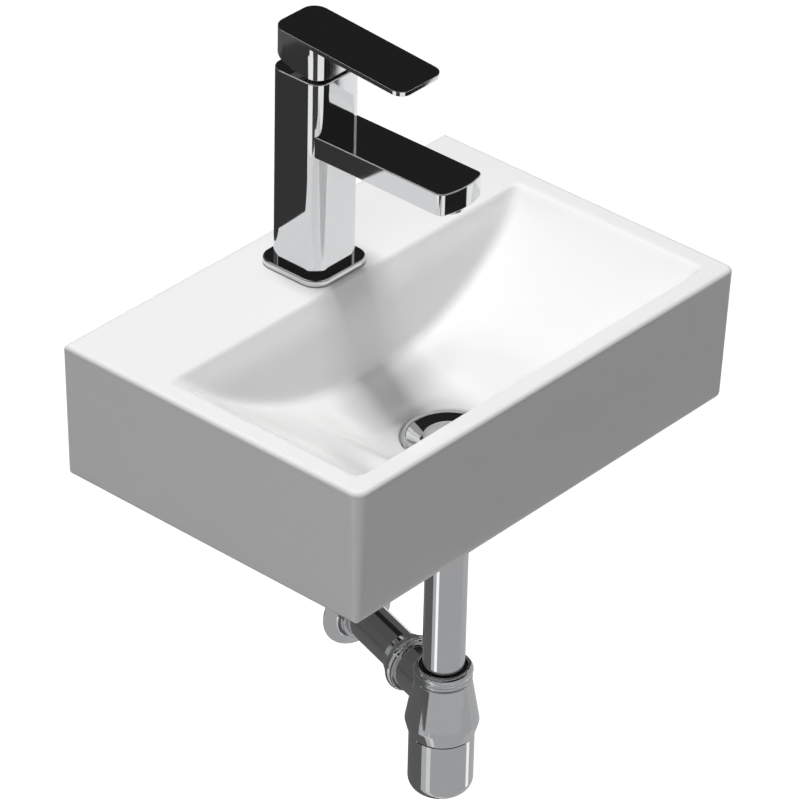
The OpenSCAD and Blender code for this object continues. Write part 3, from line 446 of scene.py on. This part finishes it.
def top_up(x, out, edge):
    """Height of the upper side: the deck, the bowl, the waste's recess and the rounded rim."""
    recess_soft, mouth_soft = 1.6, 2.6
    from_waste = np.hypot(x, out - WASTE)

    def field(up):
        bowl = bowl_depth_field(x, out, up)
        recess = np.minimum(RECESS - from_waste, up - RECESS_UP)
        return smooth_high(smooth_high(bowl, recess, recess_soft), up, mouth_soft)
    up = solve_up(field, x.shape, 8.0)
    cone = np.clip((WASTE_CONE - from_waste) / (WASTE_CONE - WASTE_HOLE), 0, 1)
    up = np.where(from_waste < RECESS - 0.01, RECESS_UP + (CONE_UP - RECESS_UP) * cone, up)
    return np.minimum(up, edge)


def under_up(x, out):
    """Height of the basin's hollow underside."""
    deck_soft, boss_soft = 5.0, 2.0
    shell = solve_up(lambda up: bowl_depth_field(x, out, up, THICK, FLOOR_THICK, front=False),
                     x.shape, 40.0)
    under = smooth_low(shell, np.full(x.shape, -THICK), deck_soft)
    boss = SEAT_UP + BOSS_SLOPE * np.maximum(np.hypot(x, out - WASTE) - BOSS, 0)
    return smooth_low(under, boss, boss_soft)


def round_square(a, b):
    """Moves the points of a square onto circles, ring by ring."""
    wide = np.abs(a) >= np.abs(b)
    big = np.where(wide, a, b)
    small = np.where(wide, b, a)
    turn = np.pi / 4 * np.divide(small, big, out=np.zeros_like(big), where=np.abs(big) > 1e-12)
    along, across = big * np.cos(turn), big * np.sin(turn)
    return np.where(wide, along, across), np.where(wide, across, along)


def ring_round(x, out, centre, radius):
    """Bends the grid's lines into rings round a hole, fading out at 1.6 times its radius."""
    a, b = x / radius, (out - centre) / radius
    size = np.maximum(np.abs(a), np.abs(b))
    hold = np.interp(size, [0, 1.28, 1.6], [1, 1, 0])
    ra, rb = round_square(a, b)
    return x + (ra * radius - x) * hold, out + (rb * radius + centre - out) * hold


def round_corner(x, out, half, near_x, far, near_out):
    """Rounds the two front corners beyond the lines near_x and near_out."""
    wide, deep = half - near_x, far - near_out
    a, b = (np.abs(x) - near_x) / wide, (out - near_out) / deep
    inside = (a > 0) & (b > 0)
    ra, rb = round_square(np.where(inside, a, 0.0), np.where(inside, b, 0.0))
    return (np.where(inside, np.sign(x) * (near_x + ra * wide), x),
            np.where(inside, near_out + rb * deep, out))


def bent_lines(x, out, half, near_x, far, near_out):
    """Bends a grid round the front corners, the tap hole and the waste."""
    x, out = round_corner(x, out, half, near_x, far, near_out)
    x, out = ring_round(x, out, TAP, TAP_HOLE)
    return ring_round(x, out, WASTE, RECESS)


def steps_between(start, end, count):
    """Even steps from start, which end one step short of the end."""
    return [start + (end - start) * i / count for i in range(count)]


def rounding_insets(radius, count=6):
    """Distances in from a rounded edge at which its arc has even steps."""
    return [radius * (1 - math.cos(math.pi / 2 * i / count)) for i in range(count + 1)]


# Distances from the waste's axis at which the grid has a line
WASTE_LINES = [TAP_HOLE, 20.2, WASTE_HOLE, 28, WASTE_CONE, 35, RECESS]
WASTE_LINES += [37.4, 38.1, 39.1, 40.5, 42.5, 46, 51, 57]


def column_lines():
    """Lines along the wall, fine where the waste, the rims and the corners are."""
    right = steps_between(0, TAP_HOLE, 8) + WASTE_LINES
    right += steps_between(63, 171, 18) + [171, 175, 178, 180.5, 182.5, 184, 185.4, 186.6, 187.8]
    right += [189, 190.5, 192.5, 195, BASIN_W / 2 - CORNER, 198.5, 199.8]
    right += [BASIN_W / 2 - i for i in reversed(rounding_insets(RIM_ROUND))]
    return [-v for v in reversed(right[1:])] + right


def row_lines():
    """Lines out from the wall, fine at the two holes and at the bowl's creases."""
    tap_end = TAP + TAP_HOLE
    rows = rounding_insets(BACK_ROUND, 4) + [6, 12, 18, 24, 27, 30, 32]
    rows += steps_between(TAP - TAP_HOLE, tap_end, 16) + [tap_end, 72, 74.5, 77.5, 80]
    rows += [81.5, 82.7, 83.6, 84.3] + steps_between(84.9, 109.5, 44)
    rows += [109.5, 110.5, 112, 114, 117, 120, 124]
    rows += [WASTE - r for r in reversed(WASTE_LINES[1:])]
    rows += steps_between(WASTE - TAP_HOLE, WASTE + TAP_HOLE, 16)
    rows += [WASTE + r for r in WASTE_LINES]
    rows += [247, 250, 252, 253.5] + steps_between(254.5, 266.5, 26) + [266.5, 268, 270]
    rows += [BASIN_D - CORNER, 273.5, 274.8]
    rows += [BASIN_D - i for i in reversed(rounding_insets(RIM_ROUND))]
    return rows


def sheet(columns, rows):
    """A grid of the given lines, with x and out of each vertex."""
    bm = bmesh.new()
    wide, deep = len(columns) - 1, len(rows) - 1
    bmesh.ops.create_grid(bm, x_segments=wide, y_segments=deep, size=1)
    i, j = np.array([(round((v.co.x + 1) / 2 * wide), round((v.co.y + 1) / 2 * deep))
                     for v in bm.verts]).T
    return bm, np.array(columns)[i], np.array(rows)[j]


def lay_sheet(bm, xs, outs, ups):
    """Moves a sheet's vertices to their places."""
    for vert, x, out, up in zip(bm.verts, xs, outs, ups):
        vert.co = place(float(x), float(out), float(up))


def edge_drop(inset, radius):
    """How far a rounded edge has dropped, at a distance in from it."""
    short = radius - np.minimum(inset, radius)
    return -radius + np.sqrt(np.maximum(radius ** 2 - short ** 2, 0))


def basin_top(columns, rows):
    """The upper side, with x and out of each of its vertices."""
    bm, x, out = sheet(columns, rows)
    half = BASIN_W / 2
    front = edge_drop(np.minimum(half - np.abs(x), BASIN_D - out), RIM_ROUND)
    edge = np.minimum(front, edge_drop(out, BACK_ROUND))
    x, out = bent_lines(x, out, half, half - CORNER, BASIN_D, BASIN_D - CORNER)
    lay_sheet(bm, x, out, top_up(x, out, edge))
    return bm, x, out


def basin_underside(columns, rows):
    """The hollow underside, on the upper side's lines drawn in to the hollow."""
    half, far = BASIN_W / 2 - LEAN - THICK, BASIN_D - LEAN - THICK
    # Between these lines round the waste both grids agree, and beyond them this one is drawn in
    drawn_x = [0, 60, BASIN_W / 2], [0, 60, half]
    drawn_out = [0, 24, 243, BASIN_D], [THICK, 24, 243, far]
    bm, x, out = sheet(np.interp(np.abs(columns), *drawn_x) * np.sign(columns),
                       np.interp(rows, *drawn_out))
    near_x = float(np.interp(BASIN_W / 2 - CORNER, *drawn_x))
    near_out = float(np.interp(BASIN_D - CORNER, *drawn_out))
    x, out = bent_lines(x, out, half, near_x, far, near_out)
    lay_sheet(bm, x, out, under_up(x, out))
    return bm


def way_out(x, out):
    """The level direction out of the basin at a point of its rim, and none along the back."""
    side = BASIN_W / 2
    if abs(abs(x) - side) < 1e-6:
        reach = Vector((1, 0))
    elif out < 1e-6:
        reach = Vector((0, 0))
    else:
        reach = Vector((max(abs(x) - (side - CORNER), 0), max(out - (BASIN_D - CORNER), 0)))
        reach.normalize()
    return Vector((math.copysign(reach.x, x), -reach.y))


def draw_ring(bm, loop, ring):
    """Extrudes a loop of edges, and gives the new edges and the new vertex of each key."""
    made = bmesh.ops.extrude_edge_only(bm, edges=loop)["geom"]
    new = {v for v in made if isinstance(v, bmesh.types.BMVert)}
    ring = {n: next(e.other_vert(v) for e in v.link_edges if e.other_vert(v) in new)
            for n, v in ring.items()}
    return [e for e in made if isinstance(e, bmesh.types.BMEdge)], ring


def draw_walls(bm, x, out, under_at):
    """The outer wall, the foot and the inner wall, drawn down from the rim's edge."""
    bm.verts.index_update()
    loop = [e for e in bm.edges if e.is_boundary]
    ring = {v.index: v for e in loop for v in e.verts}
    outward = {n: way_out(float(x[n]), float(out[n])) for n in ring}
    levels = [(down, 0.0) for down in (6.0, 30.0, 60.0, 90.0)]
    levels += [(BASIN_H - FOOT_ROUND + FOOT_ROUND * math.sin(a), FOOT_ROUND * (1 - math.cos(a)))
               for a in (math.radians(d) for d in (0, 18, 36, 54, 72, 90))]
    for down, inset in levels:
        loop, ring = draw_ring(bm, loop, ring)
        inward = inset + LEAN * down / BASIN_H
        for n, v in ring.items():
            # On the round corners the way in ends short of the corner's middle
            step = min(inward, CORNER - 0.1) if all(outward[n]) else inward
            across = float(x[n]) * (1 if outward[n].length else 1 - step / (BASIN_W / 2))
            v.co = place(across, float(out[n]), -down) - Vector((*outward[n], 0)) * step * MM
    foot = {n: v.co.copy() for n, v in ring.items()}
    for share, down in ((0.86, BASIN_H), (0.97, BASIN_H - 0.45), (1.0, BASIN_H - 1.5)):
        loop, ring = draw_ring(bm, loop, ring)
        for n, v in ring.items():
            v.co = foot[n].lerp(under_at[n], share)
            v.co.z = (RIM - down) * MM
    loop, ring = draw_ring(bm, loop, ring)
    for n, v in ring.items():
        v.co = under_at[n]


def open_hole(bm, centre, radius):
    """Takes out the faces inside a circle and returns the loop of edges round it."""
    middle = place(0, centre, 0)
    gone = [f for f in bm.faces
            if (f.calc_center_median() - middle).xy.length < radius * MM - 1e-6]
    border = {e for f in gone for e in f.edges}
    inner = {e for e in border if all(f in gone for f in e.link_faces)}
    bmesh.ops.delete(bm, geom=gone, context="FACES")
    return [e for e in border - inner if e.is_valid]


def build_basin():
    columns, rows = column_lines(), row_lines()
    bm, x, out = basin_top(columns, rows)
    under = basin_underside(columns, rows)
    draw_walls(bm, x, out, [v.co.copy() for v in under.verts])
    bmesh.ops.reverse_faces(under, faces=under.faces)
    part = bpy.data.meshes.new("underside")
    under.to_mesh(part)
    under.free()
    bm.from_mesh(part)
    bpy.data.meshes.remove(part)
    bmesh.ops.remove_doubles(bm, verts=bm.verts, dist=1e-6)
    for centre, radius in ((TAP, TAP_HOLE), (WASTE, WASTE_HOLE)):
        bmesh.ops.bridge_loops(bm, edges=open_hole(bm, centre, radius))
    bmesh.ops.recalc_face_normals(bm, faces=bm.faces)
    for side in (-BUSH_SIDE, BUSH_SIDE):
        pin = turned([(0, -6), (BUSH_HOLE, -6), (BUSH_HOLE, BUSH_DEEP), (0, BUSH_DEEP)], 48)
        bmesh.ops.rotate(pin, verts=pin.verts, matrix=Matrix.Rotation(math.pi / 2, 3, "X"))
        bmesh.ops.translate(pin, verts=pin.verts, vec=(side * MM, 0, 0))
        bm = joined(bm, pin, "DIFFERENCE")
    finish_piece("glazed_basin", bm, "fixed", "glaze", ["basin"], 48, weighted=False)


# ---------------------------------------------------------------- the tap

def height(vert):
    """Height of a vertex in mm above the rim."""
    return vert.co.z / MM - RIM


def tap_reach(vert, out=TAP):
    """Distance in mm of a vertex from an upright axis on the middle line."""
    return math.hypot(vert.co.x / MM, -vert.co.y / MM - out)


def is_outer(edge):
    """True for a raised edge of the tap's outside, and not for one of its bores."""
    foot_up, body_bore, nozzle_bore = 20, 19.5, 9.3
    return edge.calc_face_angle_signed() > 0 and all(
        height(v) > foot_up and tap_reach(v) > body_bore and tap_reach(v, NOZZLE) > nozzle_bore
        for v in edge.verts)


def is_handle_edge(edge):
    """True for a raised edge of the lever's outside, and not for its grip or its screw hole."""
    grip, hole_half, hole_back, hole_top = 8, 4, TAP - 20, 190

    def at_hole(v):
        return (v.co.y > -hole_back * MM and height(v) < hole_top
                and abs(v.co.x) < hole_half * MM)
    return edge.calc_face_angle_signed() > 0 and all(
        tap_reach(v) > grip and not at_hole(v) for v in edge.verts)


def build_tap_body():
    bm = node_copy("tap_body")
    soften(bm, 0.8, 4, 60, is_outer)
    finish_piece("tap_casting", bm, "fixed", "chrome", ["tap_body"], 26)


def build_lever():
    bm = node_copy("lever")
    soften(bm, 0.8, 4, 50, is_handle_edge)
    finish_piece("lever_handle", bm, "lever", "chrome", ["lever"], 40)


def build_base_ring():
    side, thick, corner, bore = 61, 4.5, 14, 16.5
    bm = bmesh.new()
    bmesh.ops.create_cube(bm, size=1)
    bmesh.ops.scale(bm, verts=bm.verts, vec=(side * MM, side * MM, thick * MM))
    bmesh.ops.translate(bm, verts=bm.verts, vec=(0, 0, thick / 2 * MM))
    soften(bm, corner, 12, 60, lambda e: abs(e.verts[0].co.z - e.verts[1].co.z) > 0.1 * MM)
    soften(bm, 1.3, 4, 60, lambda e: all(v.co.z > 4 * MM for v in e.verts))
    soften(bm, 0.4, 2, 60, lambda e: all(v.co.z < 0.1 * MM for v in e.verts))
    bm = joined(bm, turned([(0, -3), (bore, -3), (bore, 9), (0, 9)]), "DIFFERENCE")
    finish_piece("base_plate", shift(bm, TAP, 1.0), "fixed", "chrome", ["base_ring"], 40)


def build_nozzle():
    profile = arc(6.9, 97.9, 0.4, 180, 270, 3) + arc(8.6, 98.4, 0.9, -90, 0, 5)
    profile += [(9.5, 101.4), (9.2, 101.7), (9.2, 102.1), (9.5, 102.4), (9.5, 103.1), (9.2, 103.4)]
    profile += [(8.9, 103.4), (8.9, 111.5), (8.0, 111.5), (8.0, 99), (6.5, 99)]
    bm = shift(turned(profile, 72), NOZZLE)
    finish_piece("nozzle_shell", bm, "fixed", "chrome", ["aerator_housing"])


# ---------------------------------------------------------------- the waste

def thread(radius, low, high, depth):
    """Profile points of thread rings on an outer wall, upwards."""
    points = []
    for i in range(int((high - low) / PITCH)):
        up = low + i * PITCH
        points += [(radius - depth, up + 0.08 * PITCH), (radius, up + 0.42 * PITCH),
                   (radius, up + 0.58 * PITCH), (radius - depth, up + 0.92 * PITCH)]
    return points


def build_waste_flange():
    profile = [(17.4, -164), (20.3, -164), (20.4, -163.6)]
    profile += thread(20.95, -163.4, -112, 0.6)
    profile += [(20.95, -111), (20.95, -103), (32.6, -94.6), (32.6, -94), (35.7, -94)]
    profile += arc(34.5, -92.8, 1.5, -20, 90, 7) + arc(32.6, -92.9, 1.6, 90, 125, 5)
    profile += [(28.2, -94.4), (23.6, -97.7), (22.4, -98.8), (21.4, -99.7), (20.2, -100.2)]
    profile += [(19.0, -100.3)] + arc(17.6, -100.9, 0.6, 90, 180, 4)
    bm = shift(turned(profile, 128), WASTE)
    finish_piece("waste_dish", bm, "fixed", "chrome", ["waste_flange"], 42)


def build_waste_plug():
    profile = [(0, -93.3), (19.3, -93.3), (19.8, -93.1)] + arc(19.0, -91.9, 1.0, -20, 60, 5)
    profile += [(r, -90.7 + 0.4 * (1 - (r / 18.6) ** 2)) for r in (18.6, 17, 14, 10, 6, 3, 1, 0)]
    bm = shift(turned(profile, CLOSE), WASTE)
    finish_piece("push_plug", bm, "plug", "chrome", ["waste_plug"], 42)


def build_tailpipe():
    profile = [(15.2, -362), (15.8, -362), (16, -361.8), (16, -168.6), (16.6, -168), (20.2, -168)]
    profile += [(20.45, -167.7), (20.45, -166.3), (20.2, -166), (15, -166), (15, -361.8)]
    bm = shift(turned(profile, CLOSE), WASTE)
    finish_piece("down_pipe", bm, "fixed", "chrome", ["tailpipe"])


def nut(flats, bore, low, high, skirt=None):
    """A hexagon nut about Z with chamfered corners and a bore of one or two widths."""
    chamfer, slope = 0.4, 0.58
    bm = bmesh.new()
    across = flats / 2 / math.cos(math.pi / 6)
    bmesh.ops.create_cone(bm, cap_ends=True, segments=6, radius1=across * MM, radius2=across * MM,
                          depth=(high - low) * MM)
    bmesh.ops.translate(bm, verts=bm.verts, vec=(0, 0, (low + high) / 2 * MM))
    turn = math.pi / 6 if abs(max(v.co.x for v in bm.verts) / MM - across) > 0.01 else 0
    bmesh.ops.rotate(bm, verts=bm.verts, matrix=Matrix.Rotation(turn, 3, "Z"))
    flat = flats / 2 - chamfer
    drop = (across - flat) * slope
    crown = [(0, low), (flat, low), (across, low + drop)]
    crown += [(across, high - drop), (flat, high), (0, high)]
    bm = joined(bm, turned(crown), "INTERSECT")
    hole = [(0, low - 1), (bore, low - 1), (bore, high + 1), (0, high + 1)]
    if skirt:
        wide, step_up = skirt
        hole[2:3] = [(bore, step_up), (wide, step_up), (wide, high + 1)]
    return joined(bm, turned(hole), "DIFFERENCE")


def build_nuts():
    bm = shift(nut(48, 16.1, -172, -150, (21.0, -168)), WASTE)
    finish_piece("pipe_union_nut", bm, "fixed", "chrome", ["tailpipe_nut"])
    bm = shift(nut(52, 21.0, -124, -116), WASTE)
    finish_piece("waste_hex_nut", bm, "fixed", "brass", ["waste_backnut"])


# ---------------------------------------------------------------- the trap

def build_inlet_nut():
    profile = [(19.6, -304)] + arc(20.2, -302.1, 1.9, -90, 55, 9)
    profile += arc(18.9, -296.6, 3.6, -52, 92, 16) + [(18.4, -293.3), (18.2, -293.8)]
    profile += [(18.2, -295.5), (19.6, -295.5)]
    bm = shift(turned(profile, CLOSE), WASTE)
    finish_piece("trap_top_nut", bm, "trap", "chrome", ["inlet_nut"], 42)


def build_trap_body():
    outside = [(0, -353), (24.5, -353), (24.8, -352.7), (25.5, -351.6), (27.5, -344.2)]
    outside += arc(26.5, -342.0, 1.5, -20, 9, 4)
    outside += [(27.5, -338.5), (27.32, -337.5), (21.98, -306.5)]
    outside += arc(20.33, -305.7, 1.5, 10, 90, 5)[:-1]
    outside += [(19.5, -304.1), (19.5, -295.6), (0, -295.6)]
    inside = [(0, -355), (22.98, -355), (22.98, -341.1), (18.9, -341.1), (18.9, -339.1)]
    inside += [(24.5, -337.1), (19.0, -309), (16.08, -307), (16.08, -302.6), (17.9, -302.6)]
    inside += [(17.9, -290), (0, -290)]
    branch = along_outlet(turned([(0, 0), (19.5, 0), (19.5, 45.6), (19.1, 46), (0, 46)]))
    nut_room = shift(turned([(0, -304.1), (22.9, -304.1), (22.9, -280), (0, -280)]), WASTE)
    bm = joined(shift(turned(outside, CLOSE), WASTE), joined(branch, nut_room, "DIFFERENCE"))
    bm = joined(bm, shift(turned(inside, CLOSE), WASTE), "DIFFERENCE")
    bore = [(0, 18.7), (13, 18.7), (13, 32), (16.1, 32), (16.1, 39), (17.9, 39)]
    bm = joined(bm, along_outlet(turned(bore + [(17.9, 48), (0, 48)])), "DIFFERENCE")
    finish_piece("trap_casting", bm, "trap", "chrome", ["trap_body"], 30)


def build_trap_cup():
    profile = [(0, -405.2)] + arc(13.8, -394.2, 11, -90, 0, 14) + [(24.8, -353.6), (24.4, -353.2)]
    profile += [(22.9, -353.2)] + thread(22.9, -353.0, -343.8, 0.5)
    profile += [(22.6, -343.2), (20.9, -343.2)] + arc(11.9, -394.2, 9, 0, -90, 12) + [(0, -403.2)]
    bm = shift(turned(profile, CLOSE), WASTE)
    finish_piece("trap_bottle", bm, "cup", "chrome", ["trap_cup"], 42)


def build_outlet():
    profile = [(19.6, 38), (20.9, 38), (21.5, 38.3)]
    profile += [(21.0 + 2.5 * math.cos(t), 43 + 3.2 * math.sin(t))
                for t in (math.radians(-70 + 10 * i) for i in range(15))]
    profile += [(21.5, 47.2), (21.3, 48.2), (20.4, 49.4), (17.9, 56.2), (17.3, 56.9), (16.4, 57)]
    profile += [(16.1, 56.7), (16.1, 46.1), (19.6, 46.1)]
    finish_piece("outlet_collar", along_outlet(turned(profile, CLOSE)), "trap", "chrome",
                 ["outlet_nut"], 42)

    pipe = [(15.2, 34), (16, 34), (16, 157.6), (15.7, 158), (15.7, 217.8), (15.5, 218), (15, 218)]
    finish_piece("wall_pipe", along_outlet(turned(pipe + [(15, 34.2)], CLOSE)), "trap", "chrome",
                 ["outlet_pipe"])

    flare = [(16.08, 111.3), (16.4, 111), (18.0, 111)] + arc(18.0, 112.0, 1.0, -90, 0, 4)
    flare += [(19.1, 115.0), (19.6, 117.3), (20.9, 119.2), (23.0, 120.2), (26.0, 121.0)]
    flare += [(28.6, 122.0)] + arc(29.1, 123.2, 0.9, -70, 60, 6) + [(29.2, 124), (28.5, 123.6)]
    flare += [(25.6, 122.2), (22.5, 121.5), (19.8, 120.4), (18.3, 118.9), (17.8, 118.7)]
    flare += [(16.08, 118.7)]
    finish_piece("wall_cover", along_outlet(turned(flare, CLOSE)), "rosette", "chrome",
                 ["wall_rosette"], 42)


# ---------------------------------------------------------------- stage and light

def add_sky():
    """A white surround for the camera and the chrome, which lights the object only a little."""
    bpy.context.scene.view_settings.view_transform = "Standard"
    world = bpy.data.worlds.new("studio")
    bpy.context.scene.world = world
    world.use_nodes = True
    sky = Nodes(world.node_tree)
    dim, bright = (sky.add("ShaderNodeBackground", {"Color": (1, 1, 1, 1), "Strength": strength})
                   for strength in (0.2, 1.0))
    seen = sky.add("ShaderNodeMixShader", {0: sky.sees_white(), 1: dim, 2: bright})
    sky.feed(sky.tree.nodes.new("ShaderNodeOutputWorld").inputs["Surface"], seen)


def place_mesh(name, bm, material):
    """Makes an object of a mesh that belongs to the stage."""
    mesh = bpy.data.meshes.new(name)
    bm.to_mesh(mesh)
    bm.free()
    mesh.materials.append(material)
    made = place_object(name, mesh)
    return made


def add_floor():
    """A pale floor that takes the shadow, with a glow of its own for the camera and the chrome.

    It isn't seen from below, where it would hide the object.
    """
    bm = bmesh.new()
    bmesh.ops.create_grid(bm, x_segments=1, y_segments=1, size=6)
    bmesh.ops.translate(bm, verts=bm.verts, vec=(0, 0, FLOOR_UP))
    pale = Finish("pale_floor", Roughness=0.9, Base_Color=(0.6, 0.6, 0.6), Emission_Strength=1.0)
    pale.set("Emission Color", pale.mix(pale.sees_white(), (0, 0, 0), (0.78, 0.78, 0.78)))
    pale.set("Alpha", 1 - pale.add("ShaderNodeNewGeometry", output="Backfacing"))
    place_mesh("floor", bm, pale.material)


def lamp(name, spot, size, power):
    """A soft square light that faces the basin and doesn't show in the chrome."""
    basin_middle = Vector((0, -0.14, 0))
    data = bpy.data.lights.new(name, "AREA")
    data.shape = "RECTANGLE"
    data.size = data.size_y = size
    data.energy = power
    light = place_object(name, data)
    aim = (basin_middle - Vector(spot)).to_track_quat("-Z", "Y")
    light.matrix_world = Matrix.Translation(spot) @ aim.to_matrix().to_4x4()
    light.visible_glossy = False


def card(name, quads, grey):
    """A studio card of four cornered panels that glows with its own grey and only shows in the
    polished surfaces.
    """
    bm = bmesh.new()
    for corners in quads:
        bmesh.ops.contextual_create(bm, geom=[bm.verts.new(c) for c in corners])
    bmesh.ops.remove_doubles(bm, verts=bm.verts, dist=1e-5)
    # The card is not lit cloth: its grey is a glow of its own, a painted reflection for the
    # chrome.
    glowing = Finish(name + "_cloth", Roughness=1.0, Base_Color=(0, 0, 0), Specular_IOR_Level=0.0,
                   Emission_Color=(grey, grey, grey), Emission_Strength=1.0)
    piece = place_mesh(name, bm, glowing.material)
    piece.visible_camera = False
    piece.visible_diffuse = False
    piece.visible_shadow = False


def around(radius, turn, up):
    """A point round the waste's axis, with the turn in degrees from the camera's side."""
    camera_side = 49.2
    angle = math.radians(turn - camera_side)
    return (radius * math.sin(angle), -WASTE * MM - radius * math.cos(angle), up)


def sector(name, near, far, start, end, grey, low=CARD_UP, high=CARD_UP):
    """A card on the floor between two radii, or a curtain between two heights."""
    count = max(1, round(abs(end - start) / 12))
    turns = steps_between(start, end, count) + [end]
    card(name, [(around(near, a, low), around(far, a, high), around(far, b, high),
                 around(near, b, low)) for a, b in zip(turns, turns[1:])], grey)


def panel(name, middle, width, grey):
    """A square card that faces the tap."""
    spot = Vector(middle)
    across = spot.cross(Vector((0, 0, 1))).normalized() * width / 2
    upright = across.cross(spot).normalized() * width / 2
    corners = [spot + across * i + upright * j for i, j in ((-1, -1), (1, -1), (1, 1), (-1, 1))]
    card(name, [corners], grey)


# What the chrome shows: cards that glow with their own grey, seen only in reflections. Each row
# has a card's near and far radius, the turns it starts and ends at, its grey, and a curtain's two
# heights.
CARDS = (
    ("card_high_front", 2.2, 2.2, -95, 115, 0.02, 1.1, 5.0),
    ("card_high_right", 2.2, 2.2, 115, 150, 0.42, 0.9, 2.4),
    ("card_far_left", 1.5, 4.0, -180, -72, 0.045),
    ("card_far_middle", 1.5, 4.0, -38, -3, 0.06),
    ("card_far_right", 1.5, 4.0, 45, 100, 0.016),
    ("card_near_back", 0.05, 1.5, -180, -70, 0.13),
    ("card_near_left", 0.05, 1.5, -70, -51, 0.55),
    ("card_strip_cup", 0.05, 0.75, -51, -36, 0.82),
    ("card_strip_pipe", 0.75, 1.2, -51, -37, 1.35),
    ("card_gap_left", 1.2, 1.5, -51, -37, 0.5),
    ("card_low_right", 0.05, 0.55, 98, 113, 0.5),
    ("card_near_front", 0.05, 1.5, -36, 98, 0.46),
    ("card_near_right", 0.75, 1.5, 98, 113, 0.5),
    ("card_strip_right", 0.55, 0.75, 98, 113, 1.2),
    ("card_near_last", 0.05, 1.5, 113, 180, 0.5),
    ("curtain_low_back", 0.6, 0.6, -180, -49, 0.12, -0.48, -0.34),
    ("curtain_low_front", 0.6, 0.6, -49, 150, 0.5, -0.48, -0.34),
    ("curtain_front", 1.0, 1.0, -60, 150, 0.43, -0.25, 0.3),
    ("curtain_back", 1.0, 1.0, 150, 300, 0.11, -0.25, 0.3),
    ("curtain_far_front", 4.0, 4.0, -60, 150, 0.45, -0.79, -0.1),
    ("curtain_far_back", 4.0, 4.0, 150, 300, 0.1, -0.79, 0.1),
    ("curtain_tall", 1.0, 1.0, -160, -100, 0.1, 0.3, 1.2))

add_camera()
add_sky()
add_floor()
lamp("overhead", (0.0, 0.08, 1.95), 0.3, 30)
lamp("left_fill", (-2.2, -0.6, 0.9), 1.2, 9)
panel("card_high_back", (1.52, 1.32, 1.31), 2.4, 0.018)
panel("card_overhead", (-0.58, -0.67, 1.75), 1.9, 0.02)
for row in CARDS:
    sector(*row)

build_basin()
build_tap_body()
build_lever()
build_base_ring()
build_nozzle()
build_waste_flange()
build_waste_plug()
build_tailpipe()
build_nuts()
build_inlet_nut()
build_trap_body()
build_trap_cup()
build_outlet()

slots = {part["node"]: part["material_slot"] for part in frame["record"]["subparts"]}
for name, node in frame["nodes"].items():
    node.data.materials.clear()
    node.data.materials.append(FINISHES[slots[name]])
